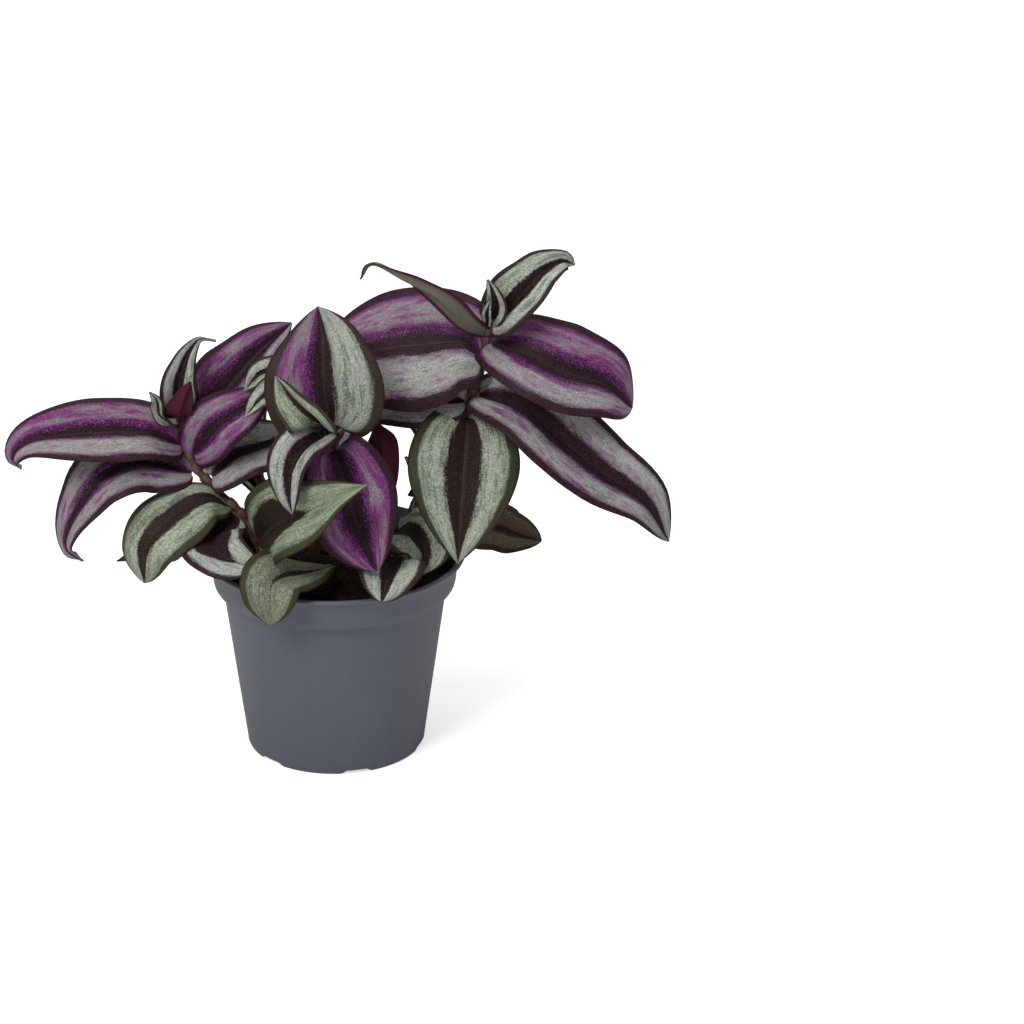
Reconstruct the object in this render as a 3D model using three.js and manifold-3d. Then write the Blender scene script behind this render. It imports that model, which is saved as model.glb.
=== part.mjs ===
// Potted tradescantia: a round nursery pot filled with soil, eight stems that stand in it, and
// the striped leaves that clasp the stems. Millimetres, +Z up. The origin is the centre of the
// pot's underside, and -Y is the side that the plant is turned to.
import * as THREE from 'three';
import { mergeVertices } from 'three/addons/utils/BufferGeometryUtils.js';
import Module from 'manifold-3d';

const wasm = await Module();
wasm.setup();

// ---- Pot -----------------------------------------------------------------------------------
const POT_HEIGHT = 83;
const LIP_RADIUS = 52.5;
const BAND_RADIUS = 50;
const BAND_HEIGHT = 15;
const BODY_TOP_RADIUS = 44.9;
const FOOT_RADIUS = 35.9;
const BAND_TAPER = 1.3;
const LIP_DEPTH = 3.7;
const WALL = 1.3;
const FLOOR_LIFT = 1.5;
const FLOOR_THICKNESS = 1.2;
const CENTRE_PAD_RADIUS = 9;
const FOOT_RING_WIDTH = 2.9;
const FLANK = 1.5;
const ROUND_SEGMENTS = 40;
const DRAIN_COUNT = 6;
const DRAIN_RADIUS = 3;
const DRAIN_CIRCLE = 24;
const NOTCH_WIDTH = 10;
const NOTCH_DEPTH = 6;
const FIRST_NOTCH_ANGLE = -74;

// Corners closer together than this are one corner.
const WELD = 0.002;

// ---- Soil and stems ------------------------------------------------------------------------
const GAP = 0.3;
const SOIL_TOP = 76;
const CRUMB_HEIGHT = 0.9;
const CRUMB_RINGS = [46.3, 32, 16];
const STEM_RADIUS = 1.9;
const STEM_TIP_RADIUS = 1.4;
const STEM_SIDES = 6;
const STEM_STEP = 9;

// ---- Leaves --------------------------------------------------------------------------------
const LEAF_THICKNESS = 1;
const EXTRA_STATIONS = 2;
const LEAF_STRIPS = 4;
const NARROWEST_BASE = 2.2;
const NARROWEST_TIP = 0.6;
const EDGE_WAVE = 0.5;
const WAVES_PER_LEAF = 2.5;
const WAVE_SHIFT = 1.7;
const LOBE_SHARE = 0.35;
const SHEATH_LENGTH = 3.6;
const SHEATH_WALL = 1;
const SHEATH_PLAY = 0.5;
// Degrees of trough fold, arch of each half, place of the widest point, sharpness of both ends
// and how far the base lobes reach back past the sheath, where a leaf does not state its own.
const LEAF_HABIT = { fold: 12, arch: 0.1, belly: 0.38, taper: 1.3, lobe: 4 };

const PLASTIC = { color: 0x54585f, roughness: 0.6 };
const PEAT = { color: 0x231a14, roughness: 1 };
const STEM_SKIN = { color: 0x6a4436, roughness: 0.5 };
const LEAF_SKINS = {
  violet: { color: 0x7a4482, roughness: 0.45 },
  silver: { color: 0x93a497, roughness: 0.4 },
  green: { color: 0x6f7f5c, roughness: 0.5 },
  wine: { color: 0x4f1c30, roughness: 0.5 },
};

// Each stem's path runs from its hidden foot in the soil to its tip. A leaf's rib runs from the
// stem to the leaf's tip. face is the way that the upper side looks at the base, and tipFace at
// the tip. The leaves stand in the order in which they leave the stem, from the soil upward.
const SHOOTS = {
  left: {
    path: [[-26, -10, 64], [-29, -12, 88], [-36, -11, 102], [-47, -8, 112], [-56, -4, 122],
      [-60, -1, 134], [-61, -1, 145]],
    leaves: [
      // crosses the front
      { rib: [[-31, -12, 92], [-21, -28, 105.3], [-9, -48, 118.3], [4, -58, 129.8],
          [16, -62, 136.3]],
        width: 36, face: [-0.1, -0.85, 0.52], belly: 0.3, taper: 1.5, lobe: 4, tint: 'green' },
      { rib: [[-33, -12, 97], [-50, 0, 98], [-65, 2, 83], [-88, 4, 75]],
        width: 18, face: [0, 0.8, 0.5], tint: 'wine' },
      { rib: [[-36, -11, 102], [-47, -23, 98], [-41, -37, 95], [-26, -44, 93]],
        width: 28, face: [-0.1, -0.6, 0.8], tipFace: [0.2, -0.8, 0.6], lobe: 3, tint: 'silver' },
      // arched, its tip hangs
      { rib: [[-40, -10, 106], [-50.5, -19, 112], [-65.7, -27, 104.5], [-73, -31, 95.1],
          [-73.3, -31, 80.9]],
        width: 31, face: [-0.1, -0.4, 0.9], tipFace: [-0.4, -0.8, 0.3], fold: -12, belly: 0.52,
        taper: 1.3, lobe: 4, tint: 'green' },
      { rib: [[-50, -7, 115], [-39, -3, 124], [-25, 0, 128], [-14, 6, 131]],
        width: 29, face: [0, -0.6, 0.8], taper: 1.15, lobe: 7, tint: 'silver' },
      // hooked, below the long one
      { rib: [[-54, -5, 119], [-75, -9, 123], [-90, -15, 119], [-98, -19, 110], [-104, -21, 98],
          [-104.5, -20, 90], [-99, -17, 84]],
        width: 31, face: [0, -0.6, 0.8], tipFace: [-0.6, -0.6, 0.5], fold: 8, belly: 0.33,
        taper: 1.7, lobe: 4, tint: 'violet' },
      { rib: [[-57, -3, 124], [-46, -10, 139], [-35, -11, 147], [-24, -7, 155]],
        width: 24, face: [0.2, -0.8, 0.6], lobe: 6, tint: 'violet' },
      // long, out to the left
      { rib: [[-59, -2, 129], [-75, -9, 136], [-102, -15, 137], [-117, -19, 136],
          [-124, -20, 130], [-122, -17, 123]],
        width: 30, face: [0, -0.6, 0.8], tipFace: [-0.5, -0.6, 0.6], fold: 8, taper: 1.25,
        lobe: 5, tint: 'violet' },
      { rib: [[-60, -1, 134], [-48, 3, 143], [-38, 7, 153.5], [-29, 12, 163], [-17, 17, 173]],
        width: 32, face: [-0.3, -0.75, 0.6], fold: 18, lobe: 5, tint: 'violet' },
      // upright at the left tip
      { rib: [[-61, -1, 138], [-60.6, -5, 152.4], [-58.4, -4, 162.1], [-55.7, -2, 167.8],
          [-52, 1, 171.3], [-45.7, 1, 170.8]],
        width: 16, face: [0.2, -0.9, 0.3], tipFace: [0.2, -0.5, 0.8], fold: 15, belly: 0.26,
        taper: 2, lobe: 1.5, tint: 'silver' },
      { rib: [[-61, -1, 138], [-67, -8, 143], [-68, -12, 150], [-71, -12, 154]],
        width: 9, face: [-0.5, -0.8, 0.3], lobe: 1, fused: true },
      { rib: [[-61, -1, 138], [-60.1, -12, 145], [-57.9, -13, 151.2], [-55, -12, 158.5]],
        width: 11, face: [0, 0.9, 0.3], lobe: 1, fused: true },
    ],
  },
  front: {
    path: [[0, -14, 64], [2, -18, 86], [5, -22, 112], [2, -26, 136], [-2, -29, 150]],
    leaves: [
      // bends down over the rim
      { rib: [[2, -18, 84], [-8.4, -32, 86.4], [-17.1, -44, 90], [-21.2, -53, 90.8],
          [-22, -56.5, 87.3], [-22, -56.5, 81.1], [-22.1, -55.5, 74.7]],
        width: 28, face: [0.1, 0.2, 1], tipFace: [-0.1, -1, 0.3], belly: 0.56, taper: 1.8,
        tint: 'green' },
      { rib: [[3, -25, 129], [9, -16, 138], [15, -12, 141], [19.5, -13, 132], [20.5, -15, 116],
          [17, -14, 102]],
        width: 14, face: [-0.4, -0.3, 1], tipFace: [0.2, 0.9, 0.2], tint: 'wine' },
      // hangs below the heart-shaped one
      { rib: [[1, -27, 137], [3, -33, 135.5], [7, -36, 123.2], [12, -42, 108.8],
          [19, -48, 94.4]],
        width: 38, face: [0, -0.6, 0.8], tipFace: [0, -1, 0.1], belly: 0.4, taper: 1.2, lobe: 6,
        tint: 'violet' },
      // folded, below the heart-shaped one
      { rib: [[0, -28, 141], [-3.9, -38, 144.9], [-10, -45, 143.1], [-13.7, -49, 136.8],
          [-14.3, -51, 128.5], [-13.5, -50, 119.1]],
        width: 22, face: [-0.3, -0.6, 0.75], tipFace: [-0.5, -0.85, 0.2], fold: 25,
        tint: 'silver' },
      // heart-shaped, upright
      { rib: [[-2, -29, 146], [-2, -26, 163], [-3, -18, 179], [-5, -9, 189]],
        width: 47, face: [0, -0.92, 0.38], belly: 0.3, taper: 1.2, lobe: 9, tint: 'violet' },
      { rib: [[-2, -29, 150], [-5.3, -42, 156.5], [-12.8, -46, 165.2], [-19.4, -44, 173.2]],
        width: 22, face: [-0.25, -0.93, -0.22], fold: 28, lobe: 2, tint: 'green' },
    ],
  },
  right: {
    path: [[36, 0, 64], [40, 3, 92], [47, 5, 118], [54, 3, 144], [60, 0, 168], [61, -1, 187]],
    leaves: [
      // low, to the right
      { rib: [[40, 3, 90], [62, 12, 88], [71, 10, 86], [83, 6, 85]],
        width: 22, face: [0.1, -0.7, 0.7], belly: 0.5, tint: 'green' },
      { rib: [[42, 4, 99], [38, 10, 103], [29, 14, 101]],
        width: 12, face: [0, 0.8, 0.5], tint: 'wine' },
      { rib: [[44, 5, 107], [36, 8, 113], [28, 8, 120]],
        width: 8, face: [-0.3, -0.8, 0.3], tint: 'silver' },
      // hangs over the front right
      { rib: [[53, 4, 140], [53, -4, 137.5], [52, -13.5, 126], [51, -25, 110], [50, -34, 92]],
        width: 45, face: [0, -0.7, 0.7], tipFace: [0, -1, 0.2], belly: 0.36, taper: 1.45,
        lobe: 6, tint: 'silver' },
      { rib: [[54, 3, 145], [38, 5, 146], [20, 11, 144], [2, 17, 139]],
        width: 30, face: [0, -0.7, 0.7], tint: 'silver' },
      // long, hangs at the right
      { rib: [[56, 2, 150], [74.1, -9, 148.8], [90.1, -16, 137.4], [106, -20, 125.7],
          [123.2, -20, 113.6], [133.1, -15, 94.5]],
        width: 34, face: [0.2, -0.7, 0.7], tipFace: [0.4, -0.8, 0.4], taper: 1.25, lobe: 8,
        tint: 'violet' },
      // rolled, seen from below
      { rib: [[60, 0, 176.8], [52.3, -8, 182.4], [42.4, -14, 194.4], [29.7, -16, 202.7],
          [16.6, -13, 208], [11.6, -10, 200.8]],
        width: 11, face: [-0.2, 0.8, 0.5], tipFace: [-0.3, 0.2, 0.9], belly: 0.34, taper: 1.1,
        lobe: 4, tint: 'wine' },
      // broad, upright at the back
      { rib: [[59, 1, 166.5], [50, 2, 171.0], [34.9, 4, 169.2], [14.8, 6, 165.5],
          [-6.3, 8, 158.7]],
        width: 53, face: [-0.1, -0.75, 0.65], fold: -8, belly: 0.42, taper: 1.1, lobe: 8,
        tint: 'violet' },
      // reaches right
      { rib: [[60, 0, 172.7], [73.8, -10, 171.6], [89.6, -16, 166.1], [107, -16, 160.5],
          [117.6, -8, 148.1]],
        width: 39, face: [0.2, -0.8, 0.6], tipFace: [0.6, -0.6, 0.5], belly: 0.44, taper: 1.15,
        lobe: 8, tint: 'violet' },
      // upright at the top
      { rib: [[61, 0, 180.9], [69, -5, 187.9], [76.9, -6, 197.1], [82.8, -3, 202.5],
          [89.7, 1, 205.3], [94.3, 4, 203]],
        width: 25, face: [-0.5, -0.75, 0.3], fold: 24, belly: 0.33, taper: 1.3, tint: 'silver' },
      { rib: [[61, 0, 180.9], [64.1, -10, 190.1], [62.6, -14, 197.8], [60.6, -14, 202.5]],
        width: 10, face: [-0.2, -0.9, 0.3], lobe: 1, fused: true },
      { rib: [[61, 0, 180.9], [60.7, -12, 189], [62, -15, 195]],
        width: 5, face: [-0.2, -0.9, 0.3], lobe: 1, fused: true },
    ],
  },
  middle: {
    path: [[-10, 4, 64], [-6, 6, 110], [-10, 2, 138], [-14, -2, 154]],
    leaves: [
      { rib: [[-12, 0, 145], [-20, -16, 157], [-27, -21, 155], [-33, -22, 148]],
        width: 15, face: [-0.3, -0.7, 0.6], tint: 'silver' },
      { rib: [[-14, -2, 152], [-19, -6, 160], [-27, -10, 162], [-34, -11.5, 155]],
        width: 13, face: [-0.1, -0.8, 0.6], tint: 'silver' },
    ],
  },
  low: {
    path: [[24, -4, 64], [25, -7, 84], [26, -8, 94]],
    leaves: [
      // lies on the rim
      { rib: [[25, -7, 84], [24, -30, 89], [22.5, -46, 88.5], [21, -54, 84]],
        width: 28, face: [0, -0.4, 0.9], tipFace: [0, -0.8, 0.5], belly: 0.55, taper: 1.2,
        tint: 'silver' },
      // short, turned down
      { rib: [[26, -8, 91], [28, -14, 96], [33, -20, 98], [37, -25, 93], [36, -29, 85]],
        width: 28, face: [0.1, -0.5, 0.9], tipFace: [0.3, -0.9, 0.3], lobe: 4, tint: 'silver' },
    ],
  },
  back: {
    path: [[0, 24, 64], [0, 28, 98], [-4, 34, 124], [-6, 38, 142]],
    leaves: [
      { rib: [[0, 27, 90], [-4, 46, 97], [-8, 64, 90], [-9, 75, 78]],
        width: 26, face: [0, 0.2, 1], tipFace: [0, 0.9, 0.4], tint: 'silver' },
      { rib: [[-2, 31, 112], [-16, 50, 126], [-28, 66, 122], [-36, 78, 108]],
        width: 28, face: [-0.2, 0.2, 1], tipFace: [-0.6, 0.6, 0.5], tint: 'silver' },
      { rib: [[-3, 33, 120], [14, 50, 131], [30, 62, 128], [42, 68, 116]],
        width: 30, face: [0.2, 0.2, 1], tipFace: [0.5, 0.6, 0.5], tint: 'silver' },
      { rib: [[-5, 36, 132], [-6, 56, 134], [-6, 78, 122], [-5, 90, 104]],
        width: 30, face: [0, 0.2, 1], tipFace: [0, 0.9, 0.4], tint: 'silver' },
      { rib: [[-6, 38, 142], [-10, 44, 152], [-6, 56, 158]],
        width: 14, face: [0, -0.8, 0.5], tint: 'silver' },
    ],
  },
  back_right: {
    path: [[28, 26, 64], [34, 32, 95], [44, 40, 118], [52, 46, 136]],
    leaves: [
      { rib: [[31, 29, 84], [46, 48, 92], [58, 62, 86], [62, 70, 74]],
        width: 22, face: [0.2, 0.3, 1], tipFace: [0.3, 0.9, 0.4], tint: 'silver' },
      { rib: [[36, 34, 100], [50, 44, 105], [66, 50, 97]],
        width: 20, face: [0.2, 0.2, 1], tint: 'silver' },
      { rib: [[42, 39, 113], [34, 56, 118], [24, 68, 114]],
        width: 18, face: [-0.2, 0.2, 1], tint: 'silver' },
      { rib: [[44, 41, 118], [50, 60, 124], [56, 82, 113], [58, 94, 97]],
        width: 28, face: [0.1, 0.2, 1], tipFace: [0.1, 0.9, 0.4], tint: 'silver' },
      { rib: [[49, 44, 129], [68, 48, 132], [88, 54, 122], [102, 58, 106]],
        width: 28, face: [0.2, 0, 1], tipFace: [0.8, 0.3, 0.5], tint: 'silver' },
      { rib: [[52, 46, 136], [56, 52, 148], [66, 60, 155]],
        width: 18, face: [-0.2, 0.8, 0.6], tint: 'silver' },
    ],
  },
  back_left: {
    path: [[-24, 16, 64], [-28, 21, 94], [-35, 27, 114]],
    leaves: [
      { rib: [[-29, 22, 98], [-48, 34, 110], [-64, 44, 106], [-74, 50, 94]],
        width: 20, face: [-0.2, 0.2, 1], tipFace: [-0.7, 0.5, 0.5], tint: 'silver' },
      { rib: [[-32, 25, 106], [-42, 44, 112], [-52, 62, 104], [-56, 74, 90]],
        width: 26, face: [0, 0.2, 1], tipFace: [-0.1, 0.9, 0.4], tint: 'silver' },
      { rib: [[-35, 27, 114], [-36, 34, 126], [-30, 44, 134]],
        width: 15, face: [0, -0.8, 0.5], tint: 'silver' },
    ],
  },
};

// ---- Solids --------------------------------------------------------------------------------
function toSolid(geometry) {
  const bare = geometry.index ? geometry.toNonIndexed() : geometry.clone();
  bare.deleteAttribute('normal');
  bare.deleteAttribute('uv');
  const welded = mergeVertices(bare, 1e-4);
  const vertProperties = new Float32Array(welded.attributes.position.array);
  const triVerts = new Uint32Array(welded.index.array);
  return new wasm.Manifold(new wasm.Mesh({ numProp: 3, vertProperties, triVerts }));
}

// Corners closer together than WELD are one corner. Triangles that this closes are left out, and
// so are two that it lays back to back.
function toGeometry(solid) {
  const { vertProperties, triVerts } = solid.getMesh();
  const geometry = new THREE.BufferGeometry();
  geometry.setAttribute('position', new THREE.BufferAttribute(new Float32Array(vertProperties), 3));
  geometry.setIndex(new THREE.BufferAttribute(new Uint32Array(triVerts), 1));
  const welded = mergeVertices(geometry, WELD);
  const corners = welded.index.array;
  const kept = new Map();
  for (let i = 0; i < corners.length; i += 3) {
    const triangle = Array.from(corners.slice(i, i + 3));
    const key = [...triangle].sort((a, b) => a - b).join();
    if (kept.has(key)) kept.delete(key);
    else if (new Set(triangle).size === 3) kept.set(key, triangle);
  }
  welded.setIndex([...kept.values()].flat());
  const faceted = welded.toNonIndexed();
  faceted.computeVertexNormals();
  return faceted;
}

function largestPiece(solid) {
  return solid.decompose().reduce((best, piece) => (piece.volume() > best.volume() ? piece : best));
}

// Closes a row of rings into one skin. Every ring has the same even number of points; its first
// half is one side of the piece and its second half the other, and both sides are split alike.
// A looped row comes back to its first ring, as a tube's outer and inner walls do.
function skin(rings, looped = false) {
  const count = rings[0].length;
  const points = rings.flat();
  const index = [];
  if (looped) rings = [...rings, rings[0]];
  for (let i = 0; i < rings.length - 1; i += 1) {
    for (let k = 0; k < count; k += 1) {
      const next = (k + 1) % count;
      const [a, b, c, d] = [i * count + k, i * count + next, (i + 1) * count + next, (i + 1) * count + k]
        .map((corner) => corner % points.length);
      if (k < count / 2) index.push(a, b, c, a, c, d);
      else index.push(a, b, d, b, c, d);
    }
  }
  const last = (rings.length - 1) * count;
  for (let k = 0; k < count / 2 - 1 && !looped; k += 1) {
    const [a, b, c, d] = [k, k + 1, count - 2 - k, count - 1 - k];
    index.push(a, c, b, a, d, c);
    index.push(last + a, last + b, last + c, last + a, last + c, last + d);
  }
  const geometry = new THREE.BufferGeometry().setFromPoints(points);
  geometry.setIndex(index);
  return toSolid(geometry);
}

function smoothPath(points) {
  return new THREE.CatmullRomCurve3(points.map((p) => new THREE.Vector3(...p)), false, 'catmullrom', 0.5);
}

// ---- Pot and soil --------------------------------------------------------------------------
function lathe(profile) {
  return toSolid(new THREE.LatheGeometry(profile.map((p) => new THREE.Vector2(...p)), ROUND_SEGMENTS)
    .rotateX(Math.PI / 2));
}

function upright(geometry, radius, angle, z) {
  const turn = THREE.MathUtils.degToRad(angle);
  geometry.rotateX(Math.PI / 2).translate(radius, 0, z).rotateZ(turn);
  return toSolid(geometry);
}

function potSolid() {
  const ledge = POT_HEIGHT - BAND_HEIGHT;
  const floorTop = FLOOR_LIFT + FLOOR_THICKNESS;
  let pot = lathe([
    [0, 0], [CENTRE_PAD_RADIUS, 0], [CENTRE_PAD_RADIUS + FLANK, FLOOR_LIFT],
    [FOOT_RADIUS - FOOT_RING_WIDTH - FLANK, FLOOR_LIFT], [FOOT_RADIUS - FOOT_RING_WIDTH, 0],
    [FOOT_RADIUS, 0], [BODY_TOP_RADIUS, ledge],
    [BAND_RADIUS - BAND_TAPER, ledge], [BAND_RADIUS, POT_HEIGHT - LIP_DEPTH],
    // the flared lip, rounded over to the inside
    [LIP_RADIUS - 0.2, POT_HEIGHT - 2], [LIP_RADIUS, POT_HEIGHT - 0.8],
    [LIP_RADIUS - 1, POT_HEIGHT], [BAND_RADIUS, POT_HEIGHT - 0.4],
    [BAND_RADIUS - WALL, POT_HEIGHT - 3.2], [BAND_RADIUS - BAND_TAPER - WALL, ledge + WALL],
    [BODY_TOP_RADIUS - WALL, ledge + WALL], [FOOT_RADIUS - WALL, floorTop], [0, floorTop],
  ]);
  for (let k = 0; k < DRAIN_COUNT; k += 1) {
    const angle = FIRST_NOTCH_ANGLE + (360 / DRAIN_COUNT) * k;
    const hole = new THREE.CylinderGeometry(DRAIN_RADIUS, DRAIN_RADIUS, 10, 10);
    pot = pot.subtract(upright(hole, DRAIN_CIRCLE, angle, FLOOR_LIFT));
    const notch = new THREE.BoxGeometry(NOTCH_DEPTH, FLOOR_LIFT * 2, NOTCH_WIDTH);
    pot = pot.subtract(upright(notch, FOOT_RADIUS - NOTCH_DEPTH / 4, angle, 0));
  }
  return largestPiece(pot);
}

// A fixed rise and fall over the soil's top, between 0 and 1 at each place.
function crumb(x, y) {
  const value = Math.sin(x * 12.9898 + y * 78.233) * 43758.5453;
  return value - Math.floor(value);
}

function soilSolid(stemHoles) {
  const ledge = POT_HEIGHT - BAND_HEIGHT;
  const floorTop = FLOOR_LIFT + FLOOR_THICKNESS;
  const profile = [
    [0, floorTop + GAP], [FOOT_RADIUS - WALL - GAP, floorTop + GAP],
    [BODY_TOP_RADIUS - WALL - GAP, ledge + WALL + GAP],
    [BAND_RADIUS - BAND_TAPER - WALL - GAP, ledge + WALL + GAP],
    [BAND_RADIUS - BAND_TAPER / 2 - WALL - GAP, SOIL_TOP - CRUMB_HEIGHT],
    ...CRUMB_RINGS.map((radius) => [radius, SOIL_TOP]), [0, SOIL_TOP],
  ];
  const geometry = new THREE.LatheGeometry(profile.map((p) => new THREE.Vector2(...p)), ROUND_SEGMENTS);
  geometry.rotateX(Math.PI / 2);
  const place = geometry.attributes.position;
  for (let i = 0; i < place.count; i += 1) {
    const [x, y, z] = [place.getX(i), place.getY(i), place.getZ(i)];
    const onTop = z > SOIL_TOP - CRUMB_HEIGHT / 2;
    const lump = crumb(Math.round(x * 10) / 10, Math.round(y * 10) / 10);
    if (onTop) place.setZ(i, z + CRUMB_HEIGHT * (lump - 0.5));
  }
  return largestPiece(stemHoles.reduce((soil, hole) => soil.subtract(hole), toSolid(geometry)));
}

// ---- Stems ---------------------------------------------------------------------------------
// The corners of a ring round the stem's path, at a length along it.
function stemRing(path, extraRadius, along) {
  const length = path.getLength();
  const u = THREE.MathUtils.clamp(along / length, 0, 1);
  const tangent = path.getTangentAt(u);
  const centre = path.getPointAt(u).addScaledVector(tangent, along - u * length);
  const side = new THREE.Vector3(0, 1, 0).cross(tangent).normalize();
  const front = tangent.clone().cross(side);
  const radius = THREE.MathUtils.lerp(STEM_RADIUS, STEM_TIP_RADIUS, u) + extraRadius;
  return Array.from({ length: STEM_SIDES }, (_, k) => {
    const turn = (2 * Math.PI * (k + 0.5)) / STEM_SIDES;
    return centre.clone()
      .addScaledVector(side, radius * Math.cos(turn))
      .addScaledVector(front, radius * Math.sin(turn));
  });
}

// A tube along part of the stem's path, from one length along it to another.
function stemTube(path, extraRadius, from, to) {
  const steps = Math.round((to - from) / STEM_STEP);
  const rings = [];
  for (let i = 0; i <= steps; i += 1) {
    rings.push(stemRing(path, extraRadius, THREE.MathUtils.lerp(from, to, i / steps)));
  }
  return skin(rings);
}

// The length along the stem at which it passes closest to a point.
function lengthNear(path, point) {
  const total = path.getLength();
  let best = 0;
  for (let i = 0; i <= 200; i += 1) {
    const u = i / 200;
    if (path.getPointAt(u).distanceTo(point) < path.getPointAt(best).distanceTo(point)) best = u;
  }
  return best * total;
}

// ---- Leaves --------------------------------------------------------------------------------
function widthShare(u, belly, taper) {
  const v = THREE.MathUtils.clamp(u, 1e-6, 1 - 1e-6);
  return (v / belly) ** (taper * belly) * ((1 - v) / (1 - belly)) ** (taper * (1 - belly));
}

// Where a leaf's rib meets the sheath: in the sheath's wall, on the side that the leaf leaves by.
function rootPoint(leaf, stem, at) {
  const u = at / stem.getLength();
  const centre = stem.getPointAt(u);
  const tangent = stem.getTangentAt(u);
  const outward = new THREE.Vector3(...leaf.rib[1]).sub(centre);
  outward.addScaledVector(tangent, -outward.dot(tangent)).normalize();
  const radius = THREE.MathUtils.lerp(STEM_RADIUS, STEM_TIP_RADIUS, u);
  return centre.addScaledVector(outward, radius + SHEATH_PLAY + SHEATH_WALL / 2);
}

// A blade along its rib: a shallow trough, each half arched, narrow at the sheath and pointed.
function blade(leaf, root, phase, extra) {
  const { fold, arch, belly, taper, lobe } = { ...LEAF_HABIT, ...leaf };
  const rib = smoothPath([root.toArray(), ...leaf.rib.slice(1)]);
  const faceAtBase = new THREE.Vector3(...leaf.face).normalize();
  const faceAtTip = new THREE.Vector3(...(leaf.tipFace ?? leaf.face)).normalize();
  const tilt = THREE.MathUtils.degToRad(fold);
  const stations = leaf.rib.length + EXTRA_STATIONS;
  const rings = [];
  for (let i = 0; i <= stations; i += 1) {
    const u = (1 - Math.cos((Math.PI * i) / stations)) / 2;
    const along = rib.getTangentAt(u);
    const up = faceAtBase.clone().lerp(faceAtTip, u);
    up.addScaledVector(along, -up.dot(along)).normalize();
    const side = along.clone().cross(up);
    const share = widthShare(u, belly, taper);
    const narrowest = THREE.MathUtils.lerp(NARROWEST_BASE, NARROWEST_TIP, u);
    const half = Math.max((leaf.width / 2) * share, narrowest) + extra;
    const lobeShare = Math.max(0, 1 - u / LOBE_SHARE) ** 2 * Math.min(1, share * 2);
    const sweep = (lobe + 2 * extra) * (half / (half - extra)) ** 2 * lobeShare;
    const row = (offset) => Array.from({ length: LEAF_STRIPS + 1 }, (_, j) => {
      const v = -1 + (2 * j) / LEAF_STRIPS;
      const reach = Math.abs(v);
      const rise = half * (reach * Math.sin(tilt) + arch * Math.sin(Math.PI * reach));
      const wave = EDGE_WAVE * reach ** 2 * Math.sin(2 * Math.PI * WAVES_PER_LEAF * u + phase);
      return rib.getPointAt(u)
        .addScaledVector(side, half * v * Math.cos(tilt))
        .addScaledVector(up, rise + wave * share + offset)
        .addScaledVector(along, -sweep * reach ** 2);
    });
    const thickness = LEAF_THICKNESS / 2 + extra;
    rings.push([...row(thickness), ...row(-thickness).reverse()]);
  }
  return skin(rings);
}

// The blade with the short sheath round the stem that it grows from. A young leaf that is still
// wrapped by another shares that one's sheath.
function leafSolid(leaf, stem, phase, extra = 0) {
  const at = lengthNear(stem, new THREE.Vector3(...leaf.rib[0]));
  const leafBlade = blade(leaf, rootPoint(leaf, stem, at), phase, extra);
  if (leaf.fused) return leafBlade;
  const [low, high] = [at - SHEATH_LENGTH / 2 - extra, at + SHEATH_LENGTH / 2 + extra];
  const [inner, outer] = [SHEATH_PLAY - extra, SHEATH_PLAY + SHEATH_WALL + extra];
  const sheath = skin([
    stemRing(stem, outer, low), stemRing(stem, outer, high),
    stemRing(stem, inner, high), stemRing(stem, inner, low),
  ], true);
  return sheath.add(leafBlade);
}

// ---- The plant -----------------------------------------------------------------------------
const plant = new THREE.Group();

function addPart(name, solid, finish) {
  const material = new THREE.MeshStandardMaterial({ metalness: 0, ...finish });
  const mesh = new THREE.Mesh(toGeometry(solid), material);
  mesh.name = name;
  plant.add(mesh);
}

const stems = Object.entries(SHOOTS).map(([name, shoot]) => {
  const path = smoothPath(shoot.path);
  const length = path.getLength();
  return {
    name,
    path,
    solid: stemTube(path, 0, 0, length),
    clearance: stemTube(path, GAP, -GAP, length + GAP),
    leaves: shoot.leaves,
  };
});

addPart('pot', potSolid(), PLASTIC);
addPart('soil', soilSolid(stems.map((stem) => stem.clearance)), PEAT);
stems.forEach((stem) => addPart(`stem_${stem.name}`, stem.solid, STEM_SKIN));

// Leaves are placed one after another. Where two bases lie close, the later one is trimmed back
// so that it stays just clear of the earlier one. The young leaves at a shoot's tip are one piece
// with the last grown leaf, which still wraps them.
const placed = [];
stems.forEach((stem) => {
  const leaves = stem.leaves.map((leaf, order) => ({
    ...leaf,
    solid: leafSolid(leaf, stem.path, order * WAVE_SHIFT),
    grown: leafSolid(leaf, stem.path, order * WAVE_SHIFT, GAP),
  }));
  const buds = leaves.filter((leaf) => leaf.fused);
  const grownUp = leaves.filter((leaf) => !leaf.fused);
  buds.forEach((bud) => {
    const bearer = grownUp.at(-1);
    bearer.solid = bearer.solid.add(bud.solid);
    bearer.grown = bearer.grown.add(bud.grown);
  });
  grownUp.forEach((leaf, order) => {
    let { solid } = leaf;
    stems.forEach((other) => {
      if (solid.intersect(other.solid).volume() > 0) solid = solid.subtract(other.clearance);
    });
    placed.forEach((other) => {
      if (solid.intersect(other.solid).volume() > 0) solid = solid.subtract(other.grown);
    });
    solid = largestPiece(solid);
    placed.push({ solid, grown: leaf.grown });
    addPart(`leaf_${stem.name}_${order + 1}`, solid, LEAF_SKINS[leaf.tint]);
  });
});

export default plant;
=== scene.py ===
# %% [markdown]
# # A tradescantia in its nursery pot
#
# The plant is a tradescantia: fleshy stems that carry two ranks of pointed leaves, each leaf
# striped in silver, violet and dark plum. It grows in a plain grey nursery pot full of peat. The
# model that is loaded here has the right places and sizes, but its leaves are coarse. This lesson
# keeps each piece where it is and makes it again with a fine surface, then paints it.
#
# Everything is in metres in Blender, but leaves are easier to think of in millimetres, so the
# shapes are described in millimetres and multiplied by `MM` at the very end.

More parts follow.
